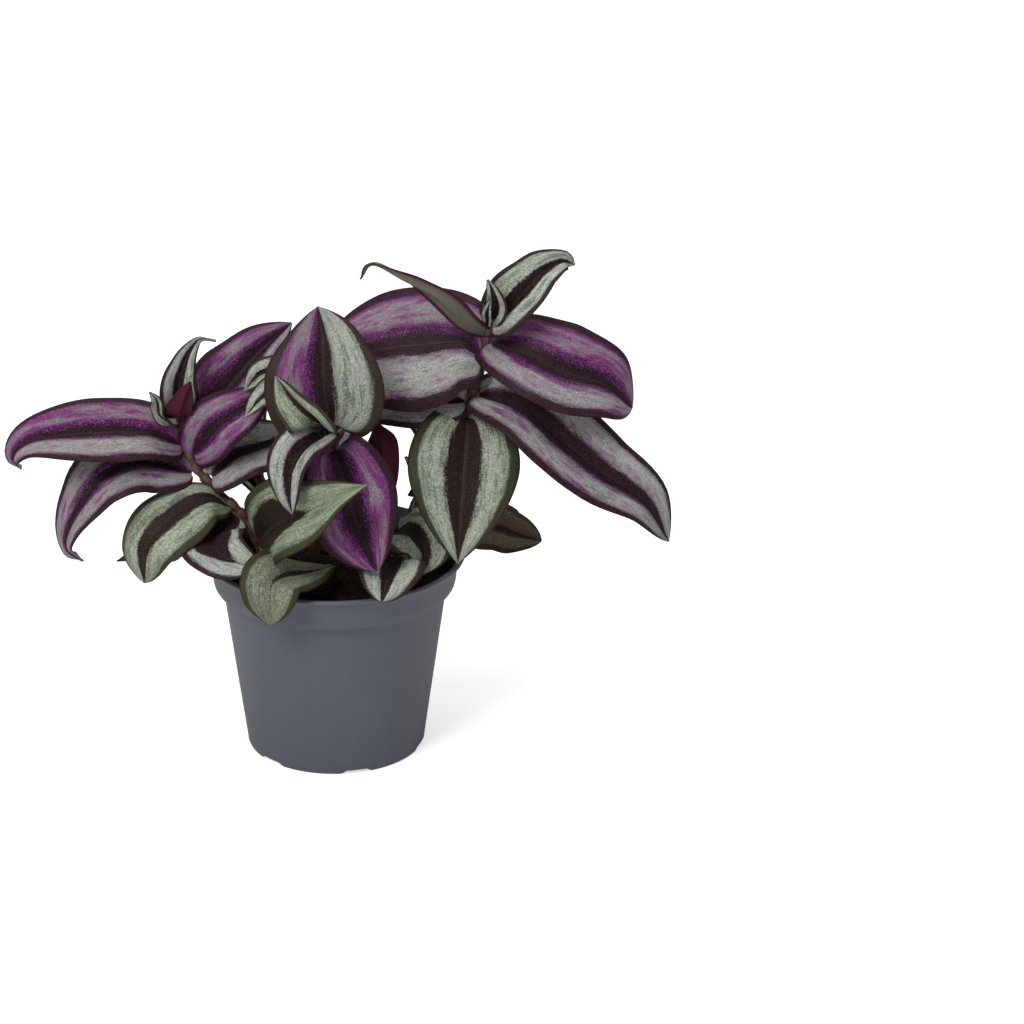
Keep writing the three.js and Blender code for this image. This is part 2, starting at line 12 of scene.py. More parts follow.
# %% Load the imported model
import math
import random

import bmesh
import bpy
import numpy as np
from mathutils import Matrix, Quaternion, Vector, noise


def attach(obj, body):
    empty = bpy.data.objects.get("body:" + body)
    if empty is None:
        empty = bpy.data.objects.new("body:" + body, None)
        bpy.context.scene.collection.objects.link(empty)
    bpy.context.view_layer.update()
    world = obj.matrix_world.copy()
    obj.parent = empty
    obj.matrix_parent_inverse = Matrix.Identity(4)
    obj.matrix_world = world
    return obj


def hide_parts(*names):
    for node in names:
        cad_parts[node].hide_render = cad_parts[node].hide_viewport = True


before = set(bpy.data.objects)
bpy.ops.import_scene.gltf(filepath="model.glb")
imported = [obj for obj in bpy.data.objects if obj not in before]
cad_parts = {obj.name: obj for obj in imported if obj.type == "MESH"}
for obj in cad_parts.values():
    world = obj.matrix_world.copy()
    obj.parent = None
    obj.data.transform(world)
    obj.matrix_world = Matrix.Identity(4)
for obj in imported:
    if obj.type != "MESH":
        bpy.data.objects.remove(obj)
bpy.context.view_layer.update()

MM = 0.001
print("nodes in the packed model:", len(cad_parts))

# %% [markdown]
# ## Where the camera stands
#
# The pot's rim and foot are ellipses, and how flat they are gives the camera's height: it looks
# down by 22.6 degrees. The sides of the pot hardly converge, so the camera is far away and has a
# long lens. The photo leans by half a degree, and the roll repeats that.

# %% Camera
AIM = Vector((71, 0, 100)) * MM
CAMERA_DISTANCE = 1.4
CAMERA_ELEVATION = math.radians(22.6)
CAMERA_ROLL = math.radians(0.63)
CAMERA_LENS = 123.2


def add_camera():
    data = bpy.data.cameras.new("camera")
    data.sensor_width = 36
    data.lens = CAMERA_LENS
    camera = bpy.data.objects.new("camera", data)
    backward = Vector((0, -math.cos(CAMERA_ELEVATION), math.sin(CAMERA_ELEVATION)))
    camera.location = AIM + backward * CAMERA_DISTANCE
    turn = backward.to_track_quat("Z", "Y") @ Quaternion((0, 0, 1), CAMERA_ROLL)
    camera.rotation_euler = turn.to_euler()
    bpy.context.collection.objects.link(camera)
    bpy.context.scene.camera = camera
    return camera


camera = add_camera()
print("camera at", tuple(round(c, 3) for c in camera.location))

# %% [markdown]
# ## The room
#
# The plant stands in a bright white studio. A very large pale floor runs out of view on every
# side, so no horizon shows. One big soft lamp hangs above and to the left of the camera, a weaker
# one fills from the right, and a third lights the top of the leaves. Big lamps give the soft
# shadows that the photo has round the foot of the pot.

# %% Floor, lamps and sky
FLOOR_SIZE = 12.0
LAMPS = {
    # name: place in metres, size in metres, power in watts, colour
    "key": ((-0.70, -1.15, 1.45), 0.7, 18, (1.0, 0.985, 0.96)),
    "fill": ((1.25, -0.9, 0.75), 0.9, 0.8, (0.95, 0.97, 1.0)),
    "top": ((0.1, 0.35, 1.6), 1.0, 8, (1.0, 1.0, 1.0)),
}
LAMP_TARGET = (0, 0, 0.1)
SKY_STRENGTH = 0.28
FLOOR_GLOW = 0.62


def add_lamp(name, place, size, power, colour):
    data = bpy.data.lights.new(name, "AREA")
    data.shape = "SQUARE"
    data.size = size
    data.energy = power
    data.color = colour
    lamp = bpy.data.objects.new(name, data)
    lamp.location = place
    backward = Vector(place) - Vector(LAMP_TARGET)
    lamp.rotation_euler = backward.to_track_quat("Z", "Y").to_euler()
    bpy.context.collection.objects.link(lamp)


for lamp_name, settings in LAMPS.items():
    add_lamp(lamp_name, *settings)

world = bpy.data.worlds.new("studio")
bpy.context.scene.world = world
world.use_nodes = True
world.node_tree.nodes["Background"].inputs["Color"].default_value = (1, 1, 1, 1)
world.node_tree.nodes["Background"].inputs["Strength"].default_value = SKY_STRENGTH
bpy.context.scene.view_settings.view_transform = "Standard"

floor_mesh = bpy.data.meshes.new("floor")
half = FLOOR_SIZE / 2
floor_mesh.from_pydata(
    [(-half, -half, 0), (half, -half, 0), (half, half, 0), (-half, half, 0)], [], [(0, 1, 2, 3)]
)
floor = bpy.data.objects.new("floor", floor_mesh)
bpy.context.collection.objects.link(floor)
print("lamps:", ", ".join(LAMPS), "and a floor of", FLOOR_SIZE, "m")

# %% [markdown]
# ## Small helpers for painting
#
# A material in Blender is a net of nodes. Here a socket of that net is wrapped as a `Value`, which
# can be added, multiplied and stepped like a number, so that a finish reads like a sum. `plug`
# puts a value, a number or a colour into a socket, and `mix` blends two colours.


# %% Node helpers
class Value:
    """A socket that does sums: each sum adds one node to the net."""

    def __init__(self, socket):
        self.socket, self.tree = socket, socket.id_data

    def __add__(self, other):
        return sums("ADD", self, other)

    def __sub__(self, other):
        return sums("SUBTRACT", self, other)

    def __rsub__(self, other):
        return sums("SUBTRACT", other, self)

    def __mul__(self, other):
        return sums("MULTIPLY", self, other)

    def __truediv__(self, other):
        return sums("DIVIDE", self, other)

    def step(self, low, high):
        """0 at low, 1 at high, and smooth between them."""
        ends = {"Value": self, "From Min": low, "From Max": high}
        shape = {"interpolation_type": "SMOOTHSTEP"}
        return made(self.tree, "ShaderNodeMapRange", "Result", ends, **shape)


def plug(value, socket):
    if isinstance(value, Value):
        value.tree.links.new(value.socket, socket)
    elif socket.type == "RGBA":
        socket.default_value = (*value, 1)
    else:
        socket.default_value = value


def add_node(tree, kind, inputs, **settings):
    node = tree.nodes.new(kind)
    for name, setting in settings.items():
        setattr(node, name, setting)
    for name, value in inputs.items():
        plug(value, node.inputs[name])
    return node


def made(tree, kind, output, inputs=None, **settings):
    """Adds a node and gives one of its outputs."""
    return Value(add_node(tree, kind, inputs or {}, **settings).outputs[output])


def sums(operation, first, second):
    tree = first.tree if isinstance(first, Value) else second.tree
    return made(tree, "ShaderNodeMath", 0, {0: first, 1: second}, operation=operation)


def mix(share, first, second, blend="MIX"):
    """The first colour where share is 0 and the second where it is 1."""
    tree = next(part.tree for part in (share, first, second) if isinstance(part, Value))
    inputs = {0: share, 6: first, 7: second}
    return made(tree, "ShaderNodeMix", 2, inputs, data_type="RGBA", blend_type=blend)


def split(value, kind):
    """The three parts of a vector (XYZ) or of a colour (Color)."""
    node = add_node(value.tree, f"ShaderNodeSeparate{kind}", {0: value})
    return [Value(socket) for socket in node.outputs]


def join(x, y, z=0.0):
    return made(x.tree, "ShaderNodeCombineXYZ", 0, {0: x, 1: y, 2: z})


def object_millimetres(tree):
    """The place on the object, for finishes that have no unwrapped map."""
    place = made(tree, "ShaderNodeTexCoord", "Object")
    return made(tree, "ShaderNodeVectorMath", 0, {0: place, "Scale": 1 / MM}, operation="SCALE")


def new_material(name):
    material = bpy.data.materials.new(name)
    material.use_nodes = True
    return material, material.node_tree


def surface(material, colour, roughness, sheen=0.5, relief=None, strength=0.0, depth=0.0):
    """Plugs a finish into the material's shader. The relief is a bump of depth millimetres."""
    shader = material.node_tree.nodes["Principled BSDF"]
    finish = {"Base Color": colour, "Roughness": roughness, "Specular IOR Level": sheen}
    if relief is not None:
        bump = {"Height": relief, "Strength": strength, "Distance": depth * MM}
        finish["Normal"] = made(relief.tree, "ShaderNodeBump", "Normal", bump)
    for name, value in finish.items():
        plug(value, shader.inputs[name])
    return shader


print("node helpers ready")

# %% [markdown]
# ## Three effects that several finishes share
#
# * **Fibre streaks.** The veins of these leaves run from the base to the tip without branching, so
#   every patch of colour is drawn out along them. A noise that is squeezed across the leaf and
#   stretched along it does the same. Stems, sheaths and the pot's moulding marks use it too.
# * **Cell sparkle.** The silver is air under the skin: thousands of tiny cells that glint one by
#   one. A Voronoi pattern gives each cell its own brightness.
# * **Mottle.** Soft clouds that keep plastic, peat and the floor from looking computed.


# %% Effect groups
def new_group(name, inputs, outputs):
    """A node group with named inputs: {name: default value, or None for a vector}."""
    tree = bpy.data.node_groups.new(name, "ShaderNodeTree")
    for label, default in inputs.items():
        kind = "NodeSocketVector" if default is None else "NodeSocketFloat"
        socket = tree.interface.new_socket(label, in_out="INPUT", socket_type=kind)
        if default is not None:
            socket.default_value = default
    for label in outputs:
        tree.interface.new_socket(label, in_out="OUTPUT", socket_type="NodeSocketFloat")
    given = [Value(socket) for socket in tree.nodes.new("NodeGroupInput").outputs[:len(inputs)]]
    return tree, given, tree.nodes.new("NodeGroupOutput").inputs


def build_fibre_streaks():
    """Vector holds millimetres along the fibres (X) and across them (Y)."""
    sockets = {"Vector": None, "Length": 9.0, "Width": 0.9}
    tree, (vector, length, width), result = new_group("fibre_streaks", sockets, ["Streaks"])
    x, y, z = split(vector, "XYZ")
    cloud = {"Vector": join(x / length, y / width, z), "Scale": 1.0, "Detail": 3.0,
             "Roughness": 0.6, "Distortion": 0.15}
    plug(made(tree, "ShaderNodeTexNoise", "Fac", cloud), result["Streaks"])
    return tree


def build_cell_sparkle():
    """Tone is each cell's own brightness, and Glint is 1 on the few cells that flash."""
    sockets = {"Vector": None, "Cell Size": 0.5, "Share": 0.12}
    tree, (vector, size, share), result = new_group("cell_sparkle", sockets, ["Tone", "Glint"])
    pattern = {"Vector": vector, "Scale": sums("DIVIDE", 1.0, size)}
    cells = made(tree, "ShaderNodeTexVoronoi", "Color", pattern, feature="F1")
    tone, flash, _ = split(cells, "Color")
    plug(tone, result["Tone"])
    plug(flash.step(1.0 - share, 1.0), result["Glint"])
    return tree


def build_mottle():
    tree, (vector, size), result = new_group("mottle", {"Vector": None, "Size": 20.0}, ["Mottle"])
    cloud = {"Vector": vector, "Scale": sums("DIVIDE", 1.0, size), "Detail": 4.0, "Roughness": 0.55}
    plug(made(tree, "ShaderNodeTexNoise", "Fac", cloud), result["Mottle"])
    return tree


STREAKS = build_fibre_streaks()
SPARKLE = build_cell_sparkle()
MOTTLE = build_mottle()


def streaks(grain, length, width):
    inputs = {"Vector": grain, "Length": length, "Width": width}
    return made(grain.tree, "ShaderNodeGroup", "Streaks", inputs, node_tree=STREAKS)


def sparkle(grain, size, share):
    inputs = {"Vector": grain, "Cell Size": size, "Share": share}
    node = add_node(grain.tree, "ShaderNodeGroup", inputs, node_tree=SPARKLE)
    return Value(node.outputs["Tone"]), Value(node.outputs["Glint"])


def mottle(place, size):
    inputs = {"Vector": place, "Size": size}
    return made(place.tree, "ShaderNodeGroup", "Mottle", inputs, node_tree=MOTTLE)


print("effect groups:", STREAKS.name, SPARKLE.name, MOTTLE.name)

# %% [markdown]
# The floor is white paper. What the camera sees of it glows a little, which lifts it to the full
# white of the photo's background.


# %% Floor finish
def studio_floor():
    material, tree = new_material("studio_floor")
    cloud = mottle(object_millimetres(tree), 300.0)
    paper = mix(cloud, (0.90, 0.90, 0.895), (0.93, 0.93, 0.925))
    shader = surface(material, paper, 0.9, sheen=0.1)
    seen = made(tree, "ShaderNodeLightPath", "Is Camera Ray")
    plug((1, 1, 1), shader.inputs["Emission Color"])
    plug(seen * FLOOR_GLOW, shader.inputs["Emission Strength"])
    return material


floor.data.materials.append(studio_floor())
print("floor finish:", floor.data.materials[0].name)

# %% [markdown]
# ## The leaves: how one is described
#
# A leaf is a rib in space with a width. The rib starts at the stem and runs to the tip. `face`
# says which way the upper side looks, and `tip` the same for the leaf's end. A cross section is a
# shallow trough: each half rises from the rib by `fold` degrees and bulges a little. The widest
# place is at `belly`, a share of the length, and `taper` makes both ends sharper. Near the base
# two lobes reach `lobe` back past the stem. Lengths are in millimetres.
#
# `paint` holds four numbers: how violet the two silver bands are (0 to 1 each), how green the leaf
# is (above 1 it turns bronze), and how wide the dark stripe along its rib is. At the share `fade`
# of the length that stripe has faded away. A `fused` leaf is a young one, still rolled in the
# last grown leaf of its shoot.

# %% Leaf descriptions
SHOOTS = {}


def leaf(rib, width, face, paint, tip=None, fold=12, belly=0.38, taper=1.3, lobe=4, fade=2.0,
         fused=False):
    return dict(rib=rib, width=width, face=face, paint=paint, tip=tip or face, fold=fold,
                belly=belly, taper=taper, lobe=lobe, fade=fade, fused=fused)


def add_shoot(name, path, *leaves):
    SHOOTS[name] = {"path": path, "leaves": leaves}
    print(name, "shoot:", len(leaves), "leaves")


# %% Left shoot
add_shoot(
    "left", [(-26, -10, 64), (-29, -12, 88), (-36, -11, 102), (-47, -8, 112), (-56, -4, 122),
    (-60, -1, 134), (-61, -1, 145)],
    # crosses the front
    leaf([(-31, -12, 92), (-21, -28, 105.3), (-9, -48, 118.3), (4, -58, 129.8), (16, -62, 136.3)],
         36, (-0.1, -0.85, 0.52), (0, 0, 0.85, 0.46), belly=0.3, taper=1.5, fade=0.62),
    leaf([(-33, -12, 97), (-50, 0, 98), (-65, 2, 83), (-88, 4, 75)], 18, (0, 0.8, 0.5),
         (0.1, 0.1, 0.1, 0.2)),
    leaf([(-36, -11, 102), (-47, -23, 98), (-41, -37, 95), (-26, -44, 93)], 28, (-0.1, -0.6, 0.8),
         (0.15, 0.15, 0.2, 0.5), tip=(0.2, -0.8, 0.6), lobe=3, fade=0.8),
    # arched, its tip hangs
    leaf([(-40, -10, 106), (-50.5, -19, 112), (-65.7, -27, 104.5), (-73, -31, 95.1),
         (-73.3, -31, 80.9)], 31, (-0.1, -0.4, 0.9), (0, 0.08, 0.6, 0.24), tip=(-0.4, -0.8, 0.3),
         fold=-12, belly=0.52),
    leaf([(-50, -7, 115), (-39, -3, 124), (-25, 0, 128), (-14, 6, 131)], 29, (0, -0.6, 0.8),
         (0.3, 0.45, 0.1, 0.14), taper=1.15, lobe=7),
    # hooked, below the long one
    leaf([(-54, -5, 119), (-75, -9, 123), (-90, -15, 119), (-98, -19, 110), (-104, -21, 98),
         (-104.5, -20, 90), (-99, -17, 84)], 31, (0, -0.6, 0.8), (0.55, 0.6, 0.2, 0.13),
         tip=(-0.6, -0.6, 0.5), fold=8, belly=0.33, taper=1.7),
    leaf([(-57, -3, 124), (-46, -10, 139), (-35, -11, 147), (-24, -7, 155)], 24, (0.2, -0.8, 0.6),
         (0.8, 0.8, 0, 0.12), lobe=6),
    # long, out to the left
    leaf([(-59, -2, 129), (-75, -9, 136), (-102, -15, 137), (-117, -19, 136), (-124, -20, 130),
         (-122, -17, 123)], 30, (0, -0.6, 0.8), (0.55, 0.85, 0.2, 0.14), tip=(-0.5, -0.6, 0.6),
         fold=8, taper=1.25, lobe=5),
    leaf([(-60, -1, 134), (-48, 3, 143), (-38, 7, 153.5), (-29, 12, 163), (-17, 17, 173)], 32,
         (-0.3, -0.75, 0.6), (0.85, 0.6, 0.05, 0.22), fold=18, lobe=5),
    # upright at the left tip
    leaf([(-61, -1, 138), (-60.6, -5, 152.4), (-58.4, -4, 162.1), (-55.7, -2, 167.8),
         (-52, 1, 171.3), (-45.7, 1, 170.8)], 16, (0.2, -0.9, 0.3), (0.3, 0.15, 0.25, 0.24),
         tip=(0.2, -0.5, 0.8), fold=15, belly=0.26, taper=2, lobe=1.5),
    leaf([(-61, -1, 138), (-67, -8, 143), (-68, -12, 150), (-71, -12, 154)], 9, (-0.5, -0.8, 0.3),
         (0.05, 0.05, 0.5, 0.2), lobe=1, fused=True),
    leaf([(-61, -1, 138), (-60.1, -12, 145), (-57.9, -13, 151.2), (-55, -12, 158.5)], 11,
         (0, 0.9, 0.3), (0.1, 0.1, 0, 0.2), lobe=1, fused=True),
)

# %% Front shoot
add_shoot(
    "front", [(0, -14, 64), (2, -18, 86), (5, -22, 112), (2, -26, 136), (-2, -29, 150)],
    # bends down over the rim
    leaf([(2, -18, 84), (-8.4, -32, 86.4), (-17.1, -44, 90), (-21.2, -53, 90.8), (-22, -56.5, 87.3),
         (-22, -56.5, 81.1), (-22.1, -55.5, 74.7)], 28, (0.1, 0.2, 1), (0, 0, 1.2, 0.12),
         tip=(-0.1, -1, 0.3), belly=0.56, taper=1.8, fade=0.75),
    leaf([(3, -25, 129), (9, -16, 138), (15, -12, 141), (19.5, -13, 132), (20.5, -15, 116),
         (17, -14, 102)], 14, (-0.4, -0.3, 1), (0.2, 0.2, 0, 0.2), tip=(0.2, 0.9, 0.2)),
    # hangs below the heart-shaped one
    leaf([(1, -27, 137), (3, -33, 135.5), (7, -36, 123.2), (12, -42, 108.8), (19, -48, 94.4)], 38,
         (0, -0.6, 0.8), (0.9, 0.95, 0, 0.2), tip=(0, -1, 0.1), belly=0.4, taper=1.2, lobe=6),
    # folded, below the heart-shaped one
    leaf([(0, -28, 141), (-3.9, -38, 144.9), (-10, -45, 143.1), (-13.7, -49, 136.8),
         (-14.3, -51, 128.5), (-13.5, -50, 119.1)], 22, (-0.3, -0.6, 0.75), (0.15, 0.2, 0.2, 0.24),
         tip=(-0.5, -0.85, 0.2), fold=25),
    # heart-shaped, upright
    leaf([(-2, -29, 146), (-2, -26, 163), (-3, -18, 179), (-5, -9, 189)], 47, (0, -0.92, 0.38),
         (0.8, 0.2, 0.35, 0.16), belly=0.3, taper=1.2, lobe=9),
    leaf([(-2, -29, 150), (-5.3, -42, 156.5), (-12.8, -46, 165.2), (-19.4, -44, 173.2)], 22,
         (-0.25, -0.93, -0.22), (0.05, 0.05, 0.55, 0.14), fold=28, lobe=2),
)

# %% Right shoot
add_shoot(
    "right", [(36, 0, 64), (40, 3, 92), (47, 5, 118), (54, 3, 144), (60, 0, 168), (61, -1, 187)],
    # low, to the right
    leaf([(40, 3, 90), (62, 12, 88), (71, 10, 86), (83, 6, 85)], 22, (0.1, -0.7, 0.7),
         (0, 0, 1.5, 0.16), belly=0.5),
    leaf([(42, 4, 99), (38, 10, 103), (29, 14, 101)], 12, (0, 0.8, 0.5), (0.1, 0.1, 0, 0.2)),
    leaf([(44, 5, 107), (36, 8, 113), (28, 8, 120)], 8, (-0.3, -0.8, 0.3), (0.1, 0.1, 0.1, 0.1)),
    # hangs over the front right
    leaf([(53, 4, 140), (53, -4, 137.5), (52, -13.5, 126), (51, -25, 110), (50, -34, 92)], 45,
         (0, -0.7, 0.7), (0.05, 0.05, 0.5, 0.28), tip=(0, -1, 0.2), belly=0.36, taper=1.45, lobe=6),
    leaf([(54, 3, 145), (38, 5, 146), (20, 11, 144), (2, 17, 139)], 30, (0, -0.7, 0.7),
         (0.2, 0.3, 0.1, 0.2)),
    # long, hangs at the right
    leaf([(56, 2, 150), (74.1, -9, 148.8), (90.1, -16, 137.4), (106, -20, 125.7),
         (123.2, -20, 113.6), (133.1, -15, 94.5)], 34, (0.2, -0.7, 0.7), (0.4, 0.5, 0.05, 0.23),
         tip=(0.4, -0.8, 0.4), taper=1.25, lobe=8),
    # rolled, seen from below
    leaf([(60, 0, 176.8), (52.3, -8, 182.4), (42.4, -14, 194.4), (29.7, -16, 202.7),
         (16.6, -13, 208), (11.6, -10, 200.8)], 11, (-0.2, 0.8, 0.5), (0.2, 0.2, 0.75, 0.2),
         tip=(-0.3, 0.2, 0.9), belly=0.34, taper=1.1),
    # broad, upright at the back
    leaf([(59, 1, 166.5), (50, 2, 171), (34.9, 4, 169.2), (14.8, 6, 165.5), (-6.3, 8, 158.7)], 53,
         (-0.1, -0.75, 0.65), (0.4, 0.75, 0.1, 0.15), fold=-8, belly=0.42, taper=1.1, lobe=8),
    # reaches right
    leaf([(60, 0, 172.7), (73.8, -10, 171.6), (89.6, -16, 166.1), (107, -16, 160.5),
         (117.6, -8, 148.1)], 39, (0.2, -0.8, 0.6), (0.85, 0.6, 0.1, 0.17), tip=(0.6, -0.6, 0.5),
         belly=0.44, taper=1.15, lobe=8),
    # upright at the top
    leaf([(61, 0, 180.9), (69, -5, 187.9), (76.9, -6, 197.1), (82.8, -3, 202.5), (89.7, 1, 205.3),
         (94.3, 4, 203)], 25, (-0.5, -0.75, 0.3), (0.03, 0.05, 0.25, 0.24), fold=24, belly=0.33),
    leaf([(61, 0, 180.9), (64.1, -10, 190.1), (62.6, -14, 197.8), (60.6, -14, 202.5)], 10,
         (-0.2, -0.9, 0.3), (0.1, 0.1, 0.3, 0.3), lobe=1, fused=True),
    leaf([(61, 0, 180.9), (60.7, -12, 189), (62, -15, 195)], 5, (-0.2, -0.9, 0.3),
         (0.1, 0.1, 0.3, 0.3), lobe=1, fused=True),
)

# %% Middle shoot
add_shoot(
    "middle", [(-10, 4, 64), (-6, 6, 110), (-10, 2, 138), (-14, -2, 154)],
    leaf([(-12, 0, 145), (-20, -16, 157), (-27, -21, 155), (-33, -22, 148)], 15, (-0.3, -0.7, 0.6),
         (0.05, 0, 0.4, 0.2)),
    leaf([(-14, -2, 152), (-19, -6, 160), (-27, -10, 162), (-34, -11.5, 155)], 13,
         (-0.1, -0.8, 0.6), (0, 0, 0.4, 0.2)),
)

# %% Low shoot
add_shoot(
    "low", [(24, -4, 64), (25, -7, 84), (26, -8, 94)],
    # lies on the rim
    leaf([(25, -7, 84), (24, -30, 89), (22.5, -46, 88.5), (21, -54, 84)], 28, (0, -0.4, 0.9),
         (0.05, 0.05, 0.3, 0.26), tip=(0, -0.8, 0.5), belly=0.55, taper=1.2),
    # short, turned down
    leaf([(26, -8, 91), (28, -14, 96), (33, -20, 98), (37, -25, 93), (36, -29, 85)], 28,
         (0.1, -0.5, 0.9), (0.05, 0.05, 0.5, 0.24), tip=(0.3, -0.9, 0.3)),
)

# %% Back shoot
add_shoot(
    "back", [(0, 24, 64), (0, 28, 98), (-4, 34, 124), (-6, 38, 142)],
    leaf([(0, 27, 90), (-4, 46, 97), (-8, 64, 90), (-9, 75, 78)], 26, (0, 0.2, 1),
         (0.05, 0.1, 0.5, 0.26), tip=(0, 0.9, 0.4)),
    leaf([(-2, 31, 112), (-16, 50, 126), (-28, 66, 122), (-36, 78, 108)], 28, (-0.2, 0.2, 1),
         (0.5, 0.4, 0.1, 0.22), tip=(-0.6, 0.6, 0.5)),
    leaf([(-3, 33, 120), (14, 50, 131), (30, 62, 128), (42, 68, 116)], 30, (0.2, 0.2, 1),
         (0.3, 0.6, 0.1, 0.24), tip=(0.5, 0.6, 0.5)),
    leaf([(-5, 36, 132), (-6, 56, 134), (-6, 78, 122), (-5, 90, 104)], 30, (0, 0.2, 1),
         (0.4, 0.4, 0.2, 0.22), tip=(0, 0.9, 0.4)),
    leaf([(-6, 38, 142), (-10, 44, 152), (-6, 56, 158)], 14, (0, -0.8, 0.5), (0.2, 0.1, 0.3, 0.2)),
)

# %% Back right shoot
add_shoot(
    "back_right", [(28, 26, 64), (34, 32, 95), (44, 40, 118), (52, 46, 136)],
    leaf([(31, 29, 84), (46, 48, 92), (58, 62, 86), (62, 70, 74)], 22, (0.2, 0.3, 1),
         (0, 0.1, 0.6, 0.24), tip=(0.3, 0.9, 0.4)),
    leaf([(36, 34, 100), (50, 44, 105), (66, 50, 97)], 20, (0.2, 0.2, 1), (0.05, 0.05, 0.5, 0.22)),
    leaf([(42, 39, 113), (34, 56, 118), (24, 68, 114)], 18, (-0.2, 0.2, 1), (0.2, 0.2, 0.2, 0.22)),
    leaf([(44, 41, 118), (50, 60, 124), (56, 82, 113), (58, 94, 97)], 28, (0.1, 0.2, 1),
         (0.6, 0.4, 0.1, 0.22), tip=(0.1, 0.9, 0.4)),
    leaf([(49, 44, 129), (68, 48, 132), (88, 54, 122), (102, 58, 106)], 28, (0.2, 0, 1),
         (0.4, 0.7, 0.05, 0.24), tip=(0.8, 0.3, 0.5)),
    leaf([(52, 46, 136), (56, 52, 148), (66, 60, 155)], 18, (-0.2, 0.8, 0.6), (0.1, 0.2, 0.3, 0.2)),
)

# %% Back left shoot
add_shoot(
    "back_left", [(-24, 16, 64), (-28, 21, 94), (-35, 27, 114)],
    leaf([(-29, 22, 98), (-48, 34, 110), (-64, 44, 106), (-74, 50, 94)], 20, (-0.2, 0.2, 1),
         (0.3, 0.5, 0.2, 0.22), tip=(-0.7, 0.5, 0.5)),
    leaf([(-32, 25, 106), (-42, 44, 112), (-52, 62, 104), (-56, 74, 90)], 26, (0, 0.2, 1),
         (0.5, 0.3, 0.1, 0.24), tip=(-0.1, 0.9, 0.4)),
    leaf([(-35, 27, 114), (-36, 34, 126), (-30, 44, 134)], 15, (0, -0.8, 0.5),
         (0.2, 0.1, 0.3, 0.2)),
)

# %% [markdown]
# ## Ribs and stems are smooth curves
#
# A Catmull-Rom curve passes through every given point, which is handy: the points are the places
# that matter. It is sampled densely and then walked by length, so that a station half way along
# the leaf really is half way.

# %% Smooth curves
STEM_RADIUS, STEM_TIP_RADIUS = 1.9, 1.4


def smooth_curve(points, samples=600):
    """Places, directions and lengths of a Catmull-Rom curve through the points."""
    p = np.array(points, float)
    p = np.vstack([2 * p[0] - p[1], p, 2 * p[-1] - p[-2]])
    t = np.linspace(0, len(points) - 1, samples)
    k = np.minimum(t.astype(int), len(points) - 2)
    w = (t - k)[:, None]
    a, b, c, d = p[k], p[k + 1], p[k + 2], p[k + 3]
    places = 0.5 * (2 * b + (c - a) * w + (2 * a - 5 * b + 4 * c - d) * w**2
                    + (3 * b - a - 3 * c + d) * w**3)
    steps = np.linalg.norm(np.diff(places, axis=0), axis=1)
    return places, np.gradient(places, axis=0), np.concatenate([[0], np.cumsum(steps)])


def unit(vectors):
    return vectors / np.linalg.norm(vectors, axis=-1, keepdims=True)


def between(at, stops, vectors):
    """The vector at `at`, blended from the two whose stops it lies between."""
    return np.stack([np.interp(at, stops, vectors[:, i]) for i in range(3)], -1)


def walk(curve, at):
    """The place and direction at each length; past an end the curve goes straight on."""
    places, directions, lengths = curve
    at = np.atleast_1d(np.asarray(at, float))
    place = between(at, lengths, places)
    direction = unit(between(at, lengths, directions))
    past = at - np.clip(at, 0, lengths[-1])
    return place + direction * past[:, None], direction


def nearest_length(curve, point):
    places, _, lengths = curve
    return lengths[np.argmin(np.linalg.norm(places - np.array(point, float), axis=1))]


def stem_radius(curve, at):
    return STEM_RADIUS + (STEM_TIP_RADIUS - STEM_RADIUS) * np.clip(at / curve[2][-1], 0, 1)


stem_curves = {name: smooth_curve(shoot["path"]) for name, shoot in SHOOTS.items()}
print("stem lengths in mm:", {name: round(c[2][-1]) for name, c in stem_curves.items()})

# %% [markdown]
# ## Building meshes from plain arrays
#
# Every piece below is made the same way: rings of points, joined into a skin, closed at the ends.
# `Skin` collects points and faces, so that a leaf, its sheath and its hairs end as one mesh. It
# carries three things for the painter: `blade` (how far along and across the leaf a point is),
# `grain` (the same in millimetres, for patterns with a real size) and `tone` (the leaf's colours).


# %% Skins
class Skin:
    def __init__(self):
        self.points, self.faces, self.finish = [], [], []
        self.blade, self.grain, self.tone = [], [], []

    def add(self, points, faces, finish, blade=None, grain=None, tone=(0, 0, 0)):
        """finish is one number, or one for each face."""
        points = np.reshape(points, (-1, 3))
        start, count = len(self.points), len(points)
        self.points += [tuple(p) for p in points]
        self.faces += [tuple(start + i for i in face) for face in faces]
        self.finish += [finish] * len(faces) if np.isscalar(finish) else list(finish)
        self.blade += list(blade) if blade is not None else [(0.5, 0.5)] * count
        self.grain += list(grain) if grain is not None else [(0.0, 0.0)] * count
        self.tone += [tuple(tone)] * count if np.ndim(tone) == 1 else list(tone)

    def piece(self, name, materials, slot, node):
        mesh = bpy.data.meshes.new(name)
        mesh.from_pydata((np.array(self.points) * MM).tolist(), [], self.faces)
        for material in materials:
            mesh.materials.append(material)
        mesh.polygons.foreach_set("material_index", self.finish)
        mesh.polygons.foreach_set("use_smooth", [True] * len(self.faces))
        corners = np.zeros(len(mesh.loops), int)
        mesh.loops.foreach_get("vertex_index", corners)
        for label, values in (("blade", self.blade), ("grain", self.grain)):
            layer = mesh.uv_layers.new(name=label)
            layer.data.foreach_set("uv", np.array(values, float)[corners].ravel())
        tone = mesh.color_attributes.new("tone", "FLOAT_COLOR", "POINT")
        colours = np.hstack([np.array(self.tone, float), np.ones((len(self.points), 1))])
        tone.data.foreach_set("color", colours.ravel())
        mesh.update()
        piece = bpy.data.objects.new(name, mesh)
        bpy.context.collection.objects.link(piece)
        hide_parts(node)
        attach(piece, "root")
        return piece


